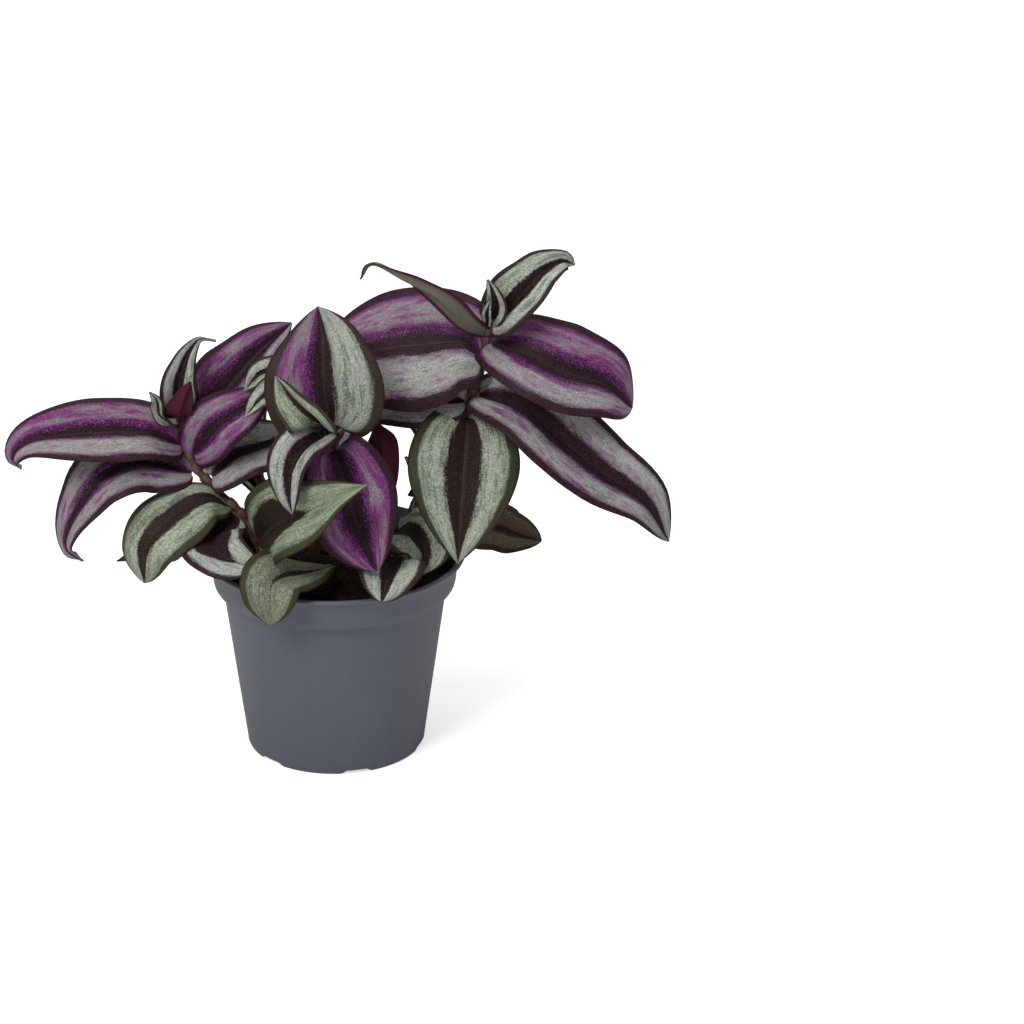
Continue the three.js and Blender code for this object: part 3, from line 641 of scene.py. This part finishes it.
def circle(side, front, count, shift=0.0):
    """Points of a unit circle that lies in the plane of two directions."""
    turn = 2 * math.pi * (np.arange(count) + shift) / count
    return np.cos(turn)[:, None] * side + np.sin(turn)[:, None] * front


def ring_faces(rows, count, looped=False):
    """Quads between rows of count points each; a looped row of rings closes on itself."""
    faces = []
    for i in range(rows if looped else rows - 1):
        j = (i + 1) % rows
        for k in range(count):
            m = (k + 1) % count
            faces.append((i * count + k, i * count + m, j * count + m, j * count + k))
    return faces


def tube_faces(rows, count):
    """The same, with a cap at each end."""
    last = (rows - 1) * count
    caps = [tuple(range(count))[::-1], tuple(range(last, last + count))]
    return ring_faces(rows, count) + caps


print("skin builder ready")

# %% [markdown]
# ## One blade
#
# A blade is a sheet less than a millimetre thick. Stations are closer together at both ends,
# where the outline turns fastest. On top of the plain trough come the things that make it a leaf:
# a groove along the rib, faint pleats beside it, a few soft buckles and a thin rounded edge. The
# first stations all look the way that the rib has settled into, so a bend at the base never makes
# them cross.

# %% Blade shape
STATIONS, STRIPS = 46, 24
GROOVE_DEPTH, GROOVE_WIDTH = 0.45, 1.1
PLEAT_HEIGHT, PLEATS = 0.09, 4
BUCKLE_HEIGHT, BUCKLE_SIZE, BUCKLE_SQUEEZE = 0.55, 13.0, 1.6
RIB_HALF_THICKNESS, EDGE_HALF_THICKNESS, TIP_THINNING = 0.42, 0.2, 0.35
EDGE_BULGE = 0.6
BAND_BLEND, FADE_LENGTH = 0.3, 0.3
# how far each leaf's noise and patterns are shifted from those of the leaf before it
NOISE_SHIFT, GRAIN_SHIFT, SHEATH_SHIFT = 7.3, 97.0, 31.0
SETTLED = 0.12
ARCH, LOBE_SHARE = 0.1, 0.35
EDGE_WAVE, WAVES_PER_LEAF, WAVE_SHIFT = 0.5, 2.5, 1.7
NARROWEST_BASE, NARROWEST_TIP = 2.2, 0.6
SHEATH_ROOT = 1.0
UPPER, UNDER, FELT = 0, 1, 2


def width_share(u, belly, taper):
    v = np.clip(u, 1e-6, 1 - 1e-6)
    return (v / belly) ** (taper * belly) * ((1 - v) / (1 - belly)) ** (taper * (1 - belly))


def root_point(leaf, stem, at):
    """Where the rib meets the sheath: on the side of the stem that the leaf leaves by."""
    centre, direction = (x[0] for x in walk(stem, at))
    outward = np.array(leaf["rib"][1], float) - centre
    outward = unit(outward - outward.dot(direction) * direction)
    return centre + outward * (stem_radius(stem, at) + SHEATH_ROOT)


def blade_grid(leaf, stem, order, seed):
    """Centre points, up vectors and thicknesses on a grid of stations by strips."""
    at = nearest_length(stem, leaf["rib"][0])
    rib = smooth_curve([root_point(leaf, stem, at), *leaf["rib"][1:]])
    length = rib[2][-1]
    u = (1 - np.cos(np.linspace(0, math.pi, STATIONS + 1))) / 2
    centre, _ = walk(rib, u * length)
    _, along = walk(rib, np.maximum(u, SETTLED) * length)
    face, tip = (unit(np.array(leaf[end], float)) for end in ("face", "tip"))
    up = face + (tip - face) * u[:, None]
    up = unit(up - (up * along).sum(1, keepdims=True) * along)
    side = np.cross(along, up)
    share = width_share(u, leaf["belly"], leaf["taper"])
    narrowest = NARROWEST_BASE + (NARROWEST_TIP - NARROWEST_BASE) * u
    half = np.maximum(leaf["width"] / 2 * share, narrowest)
    back = leaf["lobe"] * np.maximum(0, 1 - u / LOBE_SHARE) ** 2 * np.minimum(1, 2 * share)
    v = np.linspace(-1, 1, STRIPS + 1)
    reach = np.abs(v)
    fold = math.radians(leaf["fold"])
    rise = half[:, None] * (reach * math.sin(fold) + ARCH * np.sin(math.pi * reach))
    wave = np.sin(2 * math.pi * WAVES_PER_LEAF * u + order * WAVE_SHIFT) * EDGE_WAVE * share
    rise += wave[:, None] * reach**2
    across = half[:, None] * v * math.cos(fold)
    groove = GROOVE_DEPTH * np.exp(-((across / GROOVE_WIDTH) ** 2))
    rise -= groove * np.minimum(1, 3 * share)[:, None]
    rise += PLEAT_HEIGHT * np.sin(2 * math.pi * PLEATS * reach) * share[:, None]
    for i, x in enumerate(u * length / BUCKLE_SIZE):
        for j, y in enumerate(across[i] / BUCKLE_SIZE):
            buckle = noise.noise((x, y * BUCKLE_SQUEEZE, seed * NOISE_SHIFT))
            rise[i, j] += BUCKLE_HEIGHT * share[i] * buckle
    grid = (centre[:, None] + side[:, None] * across[..., None] + up[:, None] * rise[..., None]
            - along[:, None] * (back[:, None] * reach**2)[..., None])
    thickness = (RIB_HALF_THICKNESS + (EDGE_HALF_THICKNESS - RIB_HALF_THICKNESS) * reach[None] ** 3
                 ) * (1 - TIP_THINNING * u)[:, None]
    return grid, up, side, thickness, u, v, length


def add_blade(skin, leaf, stem, order, seed):
    grid, up, side, thickness, u, v, length = blade_grid(leaf, stem, order, seed)
    lift = up[:, None] * thickness[..., None]
    upper, under = grid + lift, grid - lift
    rim = EDGE_BULGE * thickness[:, -1:]
    right = grid[:, -1] + side * rim
    left = grid[:, 0] - side * rim
    rings = np.concatenate([upper, right[:, None], under[:, ::-1], left[:, None]], axis=1)
    count = rings.shape[1]
    rows = len(u)
    faces = ring_faces(rows, count)
    finish = [UPPER if k <= STRIPS or k == count - 1 else UNDER
              for _ in range(rows - 1) for k in range(count)]
    for start, flip in ((0, False), ((rows - 1) * count, True)):
        cap = [(j, count - 2 - j, count - 3 - j, j + 1) for j in range(STRIPS)]
        cap += [(0, count - 1, count - 2), (STRIPS, STRIPS + 2, STRIPS + 1)]
        for face in cap:
            corners = [start + c for c in face]
            faces.append(tuple(reversed(corners)) if flip else tuple(corners))
            finish.append(UNDER)
    across = np.concatenate([v, [1.0], v[::-1], [-1.0]])
    uu, vv = np.meshgrid(u, across, indexing="ij")
    blade = np.stack([uu, vv / 2 + 0.5], -1).reshape(-1, 2)
    grain = np.stack([uu * length, vv * leaf["width"] / 2], -1).reshape(-1, 2) + seed * GRAIN_SHIFT
    blend = np.clip(vv.ravel() / BAND_BLEND + 0.5, 0, 1)
    first_violet, second_violet, green, stripe = leaf["paint"]
    violet = first_violet + (second_violet - first_violet) * blend
    # the dark stripe is widest before the middle and narrow at the tip
    swell = 0.95 - 0.4 * uu + 0.45 * np.sin(math.pi * uu)
    stripe = stripe * swell * np.clip((leaf["fade"] - uu) / FADE_LENGTH, 0, 1)
    tone = np.stack([violet, np.full_like(violet, green), stripe.ravel()], 1)
    skin.add(rings, faces, finish, blade, grain, tone)
    return rings, u


print("each blade has", (STATIONS + 1) * (2 * STRIPS + 4), "points")

# %% [markdown]
# ## Sheath and hairs
#
# Below each blade a short tube clasps the stem, thin at its mouth. Fine hairs stand on the mouth
# and along the first part of the blade's edge. They are only slim cones, but they catch the light
# like the real ones.

# %% Sheath and hairs
SHEATH_SIDES, SHEATH_GIRTH = 18, 14
SHEATH_RINGS = [
    # length along the stem from the node, outside the stem, both in mm
    (-1.8, 0.22), (-1.3, 0.38), (-0.3, 0.56), (0.8, 0.60), (1.6, 0.58), (2.1, 0.62),
    (2.1, 0.42), (1.6, 0.38), (0.8, 0.36), (-0.3, 0.32), (-1.3, 0.18), (-1.8, 0.10),
]
HAIR_RADIUS = 0.06
EDGE_HAIRS, EDGE_HAIR_LENGTH, EDGE_LEAN, HAIRY_SHARE = 26, (0.8, 1.6), 0.35, (0.01, 0.2)
MOUTH_HAIRS, MOUTH_HAIR_LENGTH, MOUTH_LEAN = 22, (0.9, 1.8), 0.3
MOUTH_HEIGHT, MOUTH_OUT = 2.0, 0.75


def stem_ring(stem, at, out, sides):
    centre, direction = (x[0] for x in walk(stem, at))
    side = unit(np.cross((0.0, 1.0, 0.0), direction))
    radius = stem_radius(stem, at) + out
    return centre + radius * circle(side, np.cross(direction, side), sides, 0.5)


def add_sheath(skin, leaf, stem, seed):
    at = nearest_length(stem, leaf["rib"][0])
    rings = np.array([stem_ring(stem, at + s, out, SHEATH_SIDES) for s, out in SHEATH_RINGS])
    faces = ring_faces(len(rings), SHEATH_SIDES, looped=True)
    turn = np.tile(np.arange(SHEATH_SIDES) / SHEATH_SIDES, len(rings))
    along = np.repeat([s for s, _ in SHEATH_RINGS], SHEATH_SIDES)
    blade = np.stack([along / 10, turn], 1)
    grain = np.stack([along, turn * SHEATH_GIRTH], 1) + seed * SHEATH_SHIFT
    skin.add(rings, faces, FELT, blade, grain, (0.1, leaf["paint"][2], 0))
    return at


def add_hair(skin, root, direction, length):
    direction = unit(np.array(direction, float))
    side = unit(np.cross(direction, (0.31, 0.52, 0.79)))
    base = root + HAIR_RADIUS * circle(side, np.cross(direction, side), 3)
    points = np.vstack([base, root + direction * length])
    skin.add(points, [(0, 1, 3), (1, 2, 3), (2, 0, 3), (2, 1, 0)], FELT, grain=[(0.0, 0.0)] * 4)


def add_hairs(skin, rings, u, stem, at, chance):
    right, left = STRIPS + 1, rings.shape[1] - 1
    for edge, inner in ((right, STRIPS), (left, 0)):
        line = rings[:, edge]
        outward = unit(line - rings[:, inner] + 1e-6)
        for _ in range(EDGE_HAIRS):
            share = chance.uniform(*HAIRY_SHARE)
            root, away = between(share, u, line), between(share, u, outward)
            lean = np.array([chance.gauss(0, EDGE_LEAN) for _ in range(3)])
            add_hair(skin, root, away + lean, chance.uniform(*EDGE_HAIR_LENGTH))
    mouth = at + MOUTH_HEIGHT
    centre, direction = (x[0] for x in walk(stem, mouth))
    for root in stem_ring(stem, mouth, MOUTH_OUT, MOUTH_HAIRS):
        lean = np.array([chance.gauss(0, MOUTH_LEAN) for _ in range(3)])
        away = direction * 1.2 + unit(root - centre) * 0.5
        add_hair(skin, root, away + lean, chance.uniform(*MOUTH_HAIR_LENGTH))


print("sheath rings:", len(SHEATH_RINGS))

# %% [markdown]
# ## How the upper side is painted
#
# From the rib outward a leaf shows a dark plum stripe, a band of silver, and a dark margin with a
# hair-thin wine edge. The borders are ragged, because colour stops vein by vein. In the silver
# lie violet patches, thickest beside the borders, and the dark zones carry a pale speckle. So the
# net first measures how far out a point is, disturbs that with streaks, and cuts it into zones.

# %% Upper side
SILVER = (0.60, 0.66, 0.61)
SILVER_GREEN = (0.37, 0.44, 0.29)
WORN_SILVER = (0.13, 0.14, 0.12)
VIOLET = (0.235, 0.043, 0.208)
DEEP_VIOLET = (0.060, 0.008, 0.070)
BRIGHT_VIOLET = (0.38, 0.14, 0.36)
PLUM = (0.023, 0.0056, 0.0105)
OLIVE_PLUM = (0.030, 0.022, 0.012)
MARGIN = (0.035, 0.013, 0.019)
GREEN_MARGIN = (0.058, 0.082, 0.026)
BRONZE = (0.15, 0.115, 0.08)
BRONZE_MARGIN = (0.060, 0.038, 0.022)
ROSY_BROWN = (0.060, 0.026, 0.018)
WINE_EDGE = (0.050, 0.012, 0.019)
DARK_SPECKLE = (0.120, 0.088, 0.092)
GLINT = (0.78, 0.82, 0.80)
VEIN = (0.13, 0.09, 0.09)
SHADED = (0.010, 0.004, 0.007)
RIB_LINE = (0.16, 0.11, 0.11)
LEAF_SHEEN = 0.13


def unwrapped(tree, name):
    return made(tree, "ShaderNodeUVMap", "UV", uv_map=name)


def painted_tones(tree):
    return split(made(tree, "ShaderNodeVertexColor", "Color", layer_name="tone"), "Color")


def distance_from_rib(tree):
    """0 at the rib and 1 at the edge."""
    return sums("ABSOLUTE", split(unwrapped(tree, "blade"), "XYZ")[1] * 2.0 - 1.0, 0.0)


def striped_upper_side():
    material, tree = new_material("striped_upper_side")
    out, grain = distance_from_rib(tree), unwrapped(tree, "grain")
    violet, green, stripe_edge = painted_tones(tree)
    cell, flash = sparkle(grain, 0.36, 0.16)
    # each pattern swings evenly round zero
    broad, fine, patch = (streaks(grain, length, width) - 0.5
                          for length, width in ((10.0, 1.6), (2.2, 0.38), (15.0, 4.5)))
    dots = cell - 0.5

    # the zones, with ragged borders
    ragged = out + broad * 0.15 + fine * 0.10 + dots * 0.035
    past_stripe = ragged - stripe_edge
    room = green * -0.04 + 0.83 - ragged
    band = past_stripe.step(-0.045, 0.045) * room.step(-0.03, 0.03)
    near_stripe = 1.0 - past_stripe.step(0.0, 0.24)
    near_margin = 1.0 - room.step(0.0, 0.12)

    # the band: silver, with violet clouds
    bronze = green.step(1.0, 1.5)
    silver = mix((green + 0.10 - patch * 1.3).step(0.0, 1.0), SILVER, SILVER_GREEN)
    silver = mix(bronze, silver, BRONZE)
    worn = (patch + broad * 0.9).step(0.06, -0.20) * 0.65 + near_margin * 0.25
    silver = mix(worn, silver, WORN_SILVER)
    deep = broad + dots * 0.25 - near_stripe * 0.40
    purple = mix(deep.step(-0.5, 0.05), DEEP_VIOLET, VIOLET)
    purple = mix(cell.step(0.70, 1.0) * 0.32, purple, BRIGHT_VIOLET)
    cloud = violet * (near_stripe * 0.75 + near_margin * 0.5 + 0.80)
    cloud = cloud + patch * 1.8 + broad * 0.8 + dots * 0.35
    violet_share = cloud.step(0.18, 0.92) * violet.step(0.0, 0.12)
    lit = mix(violet_share, silver, purple)
    shade = (cell * 0.75 + 0.42) * (fine * 0.9 + 1.03)
    lit = mix(1.0, lit, join(shade, shade, shade), "MULTIPLY")
    lit = mix(flash * (0.5 - violet_share * 0.45) * (1.0 - bronze), lit, GLINT)

    # the stripe and the margin
    plum = mix(bronze, mix(green, PLUM, OLIVE_PLUM), ROSY_BROWN)
    margin = mix(bronze, mix(green.step(0.1, 0.7), MARGIN, GREEN_MARGIN), BRONZE_MARGIN)
    dark = mix(out.step(0.45, 0.62), plum, margin)
    dark = mix(violet * 0.18, dark, DEEP_VIOLET)
    dark = mix(fine.step(0.05, 0.22) * 0.22, dark, VEIN)
    dark = mix(broad * 0.5 + 0.25, dark, SHADED)
    dark = mix((cell + fine * 0.3).step(0.57, 1.0) * 0.32, dark, DARK_SPECKLE)

    colour = mix(band, dark, lit)
    colour = mix((1.0 - out.step(0.004, 0.016)) * 0.20, colour, RIB_LINE)
    colour = mix(out.step(0.955, 0.99), colour, WINE_EDGE)
    surface(material, colour, cell * 0.25 + 0.36, LEAF_SHEEN, fine * 0.6 + cell * 0.5, 0.7, 0.3)
    return material


print("colours of the upper side: silver", SILVER, "violet", VIOLET, "plum", PLUM)

# %% [markdown]
# ## Underside, sheath and stem
#
# The underside is a quiet wine colour, greyer on leaves that are green above. Sheaths are thin
# and brownish with wine veins, and their hairs share that finish. Stems are striped in green and
# reddish brown along their length.


# %% Underside, sheath and stem finishes
def wine_underside():
    material, tree = new_material("wine_underside")
    grain = unwrapped(tree, "grain")
    fine = streaks(grain, 6.0, 0.5)
    wine = mix(fine, (0.040, 0.007, 0.017), (0.11, 0.018, 0.045))
    grey_green = mix(streaks(grain, 16.0, 2.2), (0.14, 0.12, 0.12), (0.24, 0.27, 0.19))
    inner = 1.0 - distance_from_rib(tree).step(0.55, 0.85)
    colour = mix(painted_tones(tree)[1] * inner, wine, grey_green)
    surface(material, colour, fine * 0.2 + 0.38, LEAF_SHEEN, fine, 0.4, 0.2)
    return material


def sheath_skin():
    material, tree = new_material("sheath_skin")
    fine = streaks(unwrapped(tree, "grain"), 12.0, 0.7)
    colour = mix(fine.step(0.42, 0.58), (0.085, 0.022, 0.026), (0.16, 0.095, 0.070))
    surface(material, colour, fine * 0.2 + 0.35)
    return material


def stem_skin():
    material, tree = new_material("stem_skin")
    grain = unwrapped(tree, "grain")
    stripes = streaks(grain, 30.0, 1.3)
    colour = mix(stripes.step(0.40, 0.62), (0.11, 0.035, 0.030), (0.13, 0.115, 0.055))
    colour = mix(streaks(grain, 5.0, 0.4) * 0.35, colour, (0.045, 0.012, 0.014))
    surface(material, colour, stripes * 0.25 + 0.3, LEAF_SHEEN, stripes, 0.5, 0.3)
    return material


leaf_finishes = [striped_upper_side(), wine_underside(), sheath_skin()]
stem_finish = stem_skin()
print("leaf finishes:", ", ".join(m.name for m in leaf_finishes))

# %% [markdown]
# ## Grow the shoots
#
# Young leaves at a tip are still wrapped in the last grown leaf, so they join its mesh. Each
# finished leaf takes the place of its coarse node.

# %% Leaves
leaf_seed = 0
for shoot_name, shoot in SHOOTS.items():
    stem = stem_curves[shoot_name]
    grown = [(order, one) for order, one in enumerate(shoot["leaves"]) if not one["fused"]]
    young = [(order, one) for order, one in enumerate(shoot["leaves"]) if one["fused"]]
    for number, (order, one) in enumerate(grown, 1):
        chance = random.Random(f"{shoot_name}{number}")
        skin = Skin()
        members = [(order, one)] + (young if number == len(grown) else [])
        blades = []
        for member_order, member in members:
            leaf_seed += 1
            blades.append(add_blade(skin, member, stem, member_order, leaf_seed))
        at = add_sheath(skin, one, stem, leaf_seed)
        add_hairs(skin, *blades[0], stem, at, chance)
        skin.piece(f"striped_leaf_{shoot_name}_{number}", leaf_finishes, "leaf_skin",
                   f"leaf_{shoot_name}_{number}")
print("blades grown:", leaf_seed)

# %% [markdown]
# ## Stems
#
# Each stem is a tube that swells a little at every node and rounds off at its tip.

# %% Stems
STEM_SIDES, STEM_STEP = 16, 1.2
NODE_SWELLING, NODE_LENGTH = 0.28, 1.6
BLUNT_LENGTH, BLUNT_RADIUS = 1.4, 0.2
STEM_GIRTH = 12
for shoot_name, shoot in SHOOTS.items():
    stem = stem_curves[shoot_name]
    length = stem[2][-1]
    nodes = [nearest_length(stem, one["rib"][0]) for one in shoot["leaves"]]
    stops = np.linspace(0, length, int(length / STEM_STEP))
    rings = []
    for s in stops:
        swelling = max(math.exp(-(((s - n) / NODE_LENGTH) ** 2)) for n in nodes) * NODE_SWELLING
        closing = 1 - math.sqrt(max(0.0, 1 - max(0.0, 1 - (length - s) / BLUNT_LENGTH) ** 2))
        out = swelling - closing * (STEM_TIP_RADIUS - BLUNT_RADIUS)
        rings.append(stem_ring(stem, s, out, STEM_SIDES))
    turn = np.tile(np.arange(STEM_SIDES) / STEM_SIDES * STEM_GIRTH, len(rings))
    grain = np.stack([np.repeat(stops, STEM_SIDES), turn], 1)
    skin = Skin()
    skin.add(rings, tube_faces(len(rings), STEM_SIDES), 0, grain=grain)
    skin.piece(f"fleshy_stem_{shoot_name}", [stem_finish], "stem_skin", f"stem_{shoot_name}")
print("stems:", len(SHOOTS))

# %% [markdown]
# ## The pot
#
# A thin moulded pot: a tapered body, a deeper band at the top with a soft ledge under it, and a
# flared lip that is rolled over. It is turned from one outline, as on a lathe, with many more
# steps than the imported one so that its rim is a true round. The foot ring is lifted at six places,
# the notches that let water run out, and six drain holes go through the floor.

# %% Pot shape
POT_SEGMENTS = 192
POT_MEAN_RADIUS = 45.0
POT_OUTLINE = [
    (0, 0), (8.6, 0), (9.2, 0.25), (10.4, 1.35), (11.2, 1.5), (30.9, 1.5), (31.6, 1.35),
    (32.8, 0.25), (33.4, 0), (35.1, 0), (35.7, 0.25), (36.0, 1.0), (36.45, 4.5), (38.3, 18.5),
    (40.6, 35.5), (42.8, 52), (44.55, 65.0), (44.85, 67.2), (45.2, 67.85), (45.9, 68.05),
    (46.8, 68.25), (47.7, 68.95), (48.4, 70.1), (48.8, 71.8), (49.1, 74.5), (49.75, 78.6),
    (50.1, 79.6), (50.8, 80.35), (51.7, 80.9), (52.3, 81.5), (52.5, 82.1), (52.35, 82.6),
    (51.95, 82.9), (51.4, 83.0), (50.7, 82.85), (50.0, 82.4), (49.35, 81.5), (48.85, 80.2),
    (48.55, 78.5), (47.6, 70.0), (47.3, 69.5), (46.8, 69.3), (44.3, 69.3), (43.75, 69.1),
    (43.55, 68.6), (39.4, 35.5), (34.9, 3.4), (34.5, 2.85), (33.9, 2.7), (0, 2.7),
]
DRAIN_COUNT, DRAIN_RADIUS, DRAIN_CIRCLE = 6, 3.0, 24.0
DRAIN_SIDES = 32
FIRST_NOTCH = math.radians(-74)
NOTCH_HALF_WIDTH, NOTCH_SLOPE, NOTCH_HEIGHT = 4.6, 1.2, 1.55
FOOT_RING = (29, 37)
SHARP_ANGLE = 40


def notch_lift(angle, radius):
    """How far the foot ring is lifted at this angle: 1 in a notch, 0 between them."""
    step = 2 * math.pi / DRAIN_COUNT
    off = abs((angle - FIRST_NOTCH + step / 2) % step - step / 2) * radius
    return min(1.0, max(0.0, (NOTCH_HALF_WIDTH + NOTCH_SLOPE - off) / NOTCH_SLOPE))


def turned(outline, segments, lift=None):
    """A closed solid of revolution whose outline starts and ends on the axis."""
    points = [(0.0, 0.0, outline[0][1])]
    for radius, z in outline[1:-1]:
        for k in range(segments):
            angle = 2 * math.pi * k / segments
            height = max(z, lift(angle, radius, z)) if lift else z
            points.append((radius * math.cos(angle), radius * math.sin(angle), height))
    points.append((0.0, 0.0, outline[-1][1]))
    rows = len(outline) - 2
    faces = [tuple(1 + i for i in face) for face in ring_faces(rows, segments)]
    last = len(points) - 1
    for k in range(segments):
        m = (k + 1) % segments
        faces.append((0, 1 + m, 1 + k))
        faces.append((last, 1 + (rows - 1) * segments + k, 1 + (rows - 1) * segments + m))
    return points, faces


def foot_lift(angle, radius, z):
    inner, outer = FOOT_RING
    return notch_lift(angle, radius) * NOTCH_HEIGHT if inner < radius < outer else z


def cut_drain_holes(piece):
    """Round holes through the floor, made with a Boolean that is applied at once."""
    cutter_mesh = bpy.data.meshes.new("drain_cutter")
    shape = bmesh.new()
    for k in range(DRAIN_COUNT):
        angle = FIRST_NOTCH + 2 * math.pi * k / DRAIN_COUNT
        cone = bmesh.ops.create_cone(
            shape, cap_ends=True, segments=DRAIN_SIDES, radius1=DRAIN_RADIUS * MM,
            radius2=DRAIN_RADIUS * MM, depth=10 * MM)
        place = (DRAIN_CIRCLE * MM * math.cos(angle), DRAIN_CIRCLE * MM * math.sin(angle), 1.5 * MM)
        bmesh.ops.translate(shape, verts=cone["verts"], vec=place)
    shape.to_mesh(cutter_mesh)
    shape.free()
    cutter = bpy.data.objects.new("drain_cutter", cutter_mesh)
    bpy.context.collection.objects.link(cutter)
    step = piece.modifiers.new("drain", "BOOLEAN")
    step.operation, step.solver, step.object = "DIFFERENCE", "EXACT", cutter
    seen = piece.evaluated_get(bpy.context.evaluated_depsgraph_get())
    mesh = bpy.data.meshes.new_from_object(seen)
    piece.modifiers.clear()
    piece.data = mesh
    bpy.data.objects.remove(cutter)


def soften(piece, limit):
    """Smooth shading, with sharp edges only where faces meet at more than limit degrees."""
    shape = bmesh.new()
    shape.from_mesh(piece.data)
    for face in shape.faces:
        face.smooth = True
    for edge in shape.edges:
        edge.smooth = len(edge.link_faces) == 2 and edge.calc_face_angle(0) < math.radians(limit)
    shape.to_mesh(piece.data)
    shape.free()


# %% [markdown]
# Nursery plastic is grey with a blue cast. It is matt, but the mould leaves faint upright flow
# marks, and handling leaves a few pale scuffs.


# %% Pot finish
def nursery_plastic():
    material, tree = new_material("nursery_plastic")
    place = object_millimetres(tree)
    x, y, z = split(place, "XYZ")
    wall = join(z, sums("ARCTAN2", y, x) * POT_MEAN_RADIUS)
    flow, cloud = streaks(wall, 60.0, 3.0), mottle(place, 28.0)
    colour = mix(cloud, (0.097, 0.107, 0.137), (0.127, 0.139, 0.177))
    colour = mix(flow * 0.35, colour, (0.084, 0.088, 0.104))
    scuffed = streaks(wall, 0.8, 4.5).step(0.70, 0.78) * cloud.step(0.5, 0.65)
    colour = mix(scuffed * 0.35, colour, (0.30, 0.31, 0.34))
    roughness = cloud * 0.16 + 0.42 + scuffed * 0.15
    relief = flow * 0.5 + mottle(place, 0.7) * 0.12
    surface(material, colour, roughness, relief=relief, strength=0.25, depth=0.3)
    return material


points, faces = turned(POT_OUTLINE, POT_SEGMENTS, foot_lift)
pot_skin = Skin()
pot_skin.add(points, faces, 0)
pot = pot_skin.piece("nursery_pot", [nursery_plastic()], "grey_plastic", "pot")
cut_drain_holes(pot)
soften(pot, SHARP_ANGLE)
print("pot faces:", len(pot.data.polygons))

# %% [markdown]
# ## Peat
#
# The soil fills the pot to just under the band's top. Its surface is a fine round grid that is
# pushed up and down by two sizes of noise. Loose crumbs and short root fibres lie on it, because
# a surface that is only bumpy never looks crumbly.

# %% Peat
SOIL_TOP, SOIL_EDGE = 76.0, 48.0
SOIL_RINGS, SOIL_SEGMENTS = 64, 150
CRUMBS, CRUMB_SPREAD = 520, 46
FIBRES, FIBRE_SPREAD, FIBRE_RINGS, FIBRE_SIDES, FIBRE_ARCH = 90, 35, 9, 5, 0.35


def soil_height(x, y):
    broad = noise.noise((x / 11, y / 11, 3.1)) * 0.9
    fine = noise.noise((x / 2.3, y / 2.3, 9.7)) * 0.55
    grit = noise.noise((x / 0.9, y / 0.9, 5.2)) * 0.25
    rim = max(0.0, (math.hypot(x, y) - 42) / 6) * 0.8
    return SOIL_TOP + 0.1 + broad + fine + grit - rim


def add_crumb(skin, x, y, size, chance):
    shape = bmesh.new()
    bmesh.ops.create_icosphere(shape, subdivisions=1, radius=size)
    squash = chance.uniform(0.5, 0.9)
    points = []
    for vertex in shape.verts:
        grow = 1 + chance.uniform(-0.25, 0.25)
        p = vertex.co * grow
        points.append((p.x + x, p.y + y, p.z * squash + soil_height(x, y) + size * 0.25))
    faces = [tuple(v.index for v in face.verts) for face in shape.faces]
    shape.free()
    skin.add(points, faces, 0, tone=(chance.random(), 0, 0))


def add_fibre(skin, x, y, chance):
    heading = chance.uniform(0, 2 * math.pi)
    bend = chance.uniform(-0.5, 0.5)
    length = chance.uniform(3, 11)
    radius = chance.uniform(0.12, 0.26)
    rings = []
    for i in range(FIBRE_RINGS):
        share = i / (FIBRE_RINGS - 1)
        turn = heading + bend * share
        px, py = x + length * share * math.cos(turn), y + length * share * math.sin(turn)
        side = np.array((-math.sin(turn), math.cos(turn), 0.0))
        lift = radius + FIBRE_ARCH * math.sin(math.pi * share)
        centre = np.array((px, py, soil_height(px, py) + lift))
        rings.append(centre + radius * circle(side, np.array((0.0, 0.0, 1.0)), FIBRE_SIDES))
    skin.add(rings, tube_faces(FIBRE_RINGS, FIBRE_SIDES), 0, tone=(1.0, 1.0, 0))


def peat():
    material, tree = new_material("peat")
    place = object_millimetres(tree)
    crumb, fibre, _ = painted_tones(tree)
    cloud = mottle(place, 2.2)
    grit, glint = sparkle(place, 0.7, 0.05)
    colour = mix(cloud, (0.006, 0.004, 0.003), (0.030, 0.017, 0.010))
    colour = mix(crumb * 0.35, colour, (0.075, 0.045, 0.026))
    colour = mix(fibre * 0.5, colour, (0.13, 0.075, 0.040))
    colour = mix(glint * 0.25, colour, (0.20, 0.15, 0.10))
    surface(material, colour, 0.95, 0.1, grit * 0.5 + cloud, 0.8, 0.5)
    return material


soil_outline = [(0, 3.0), (34.3, 3.0), (43.3, 69.6), (47.1, 69.6), (SOIL_EDGE, SOIL_TOP - 1.2)]
soil_outline += [(SOIL_EDGE * (1 - k / SOIL_RINGS), SOIL_TOP) for k in range(1, SOIL_RINGS)]
soil_outline += [(0, SOIL_TOP)]
points, faces = turned(soil_outline, SOIL_SEGMENTS)
points = [(x, y, soil_height(x, y)) if z > SOIL_TOP - 0.5 else (x, y, z) for x, y, z in points]
soil_skin = Skin()
soil_skin.add(points, faces, 0)
chance = random.Random(5)
for _ in range(CRUMBS):
    radius = CRUMB_SPREAD * math.sqrt(chance.random())
    angle = chance.uniform(0, 2 * math.pi)
    size = 0.35 + 1.1 * chance.random() ** 3
    add_crumb(soil_skin, radius * math.cos(angle), radius * math.sin(angle), size, chance)
for _ in range(FIBRES):
    radius = FIBRE_SPREAD * math.sqrt(chance.random())
    angle = chance.uniform(0, 2 * math.pi)
    add_fibre(soil_skin, radius * math.cos(angle), radius * math.sin(angle), chance)
soil_skin.piece("crumbly_peat", [peat()], "peat", "soil")
print("crumbs and fibres:", CRUMBS, FIBRES)
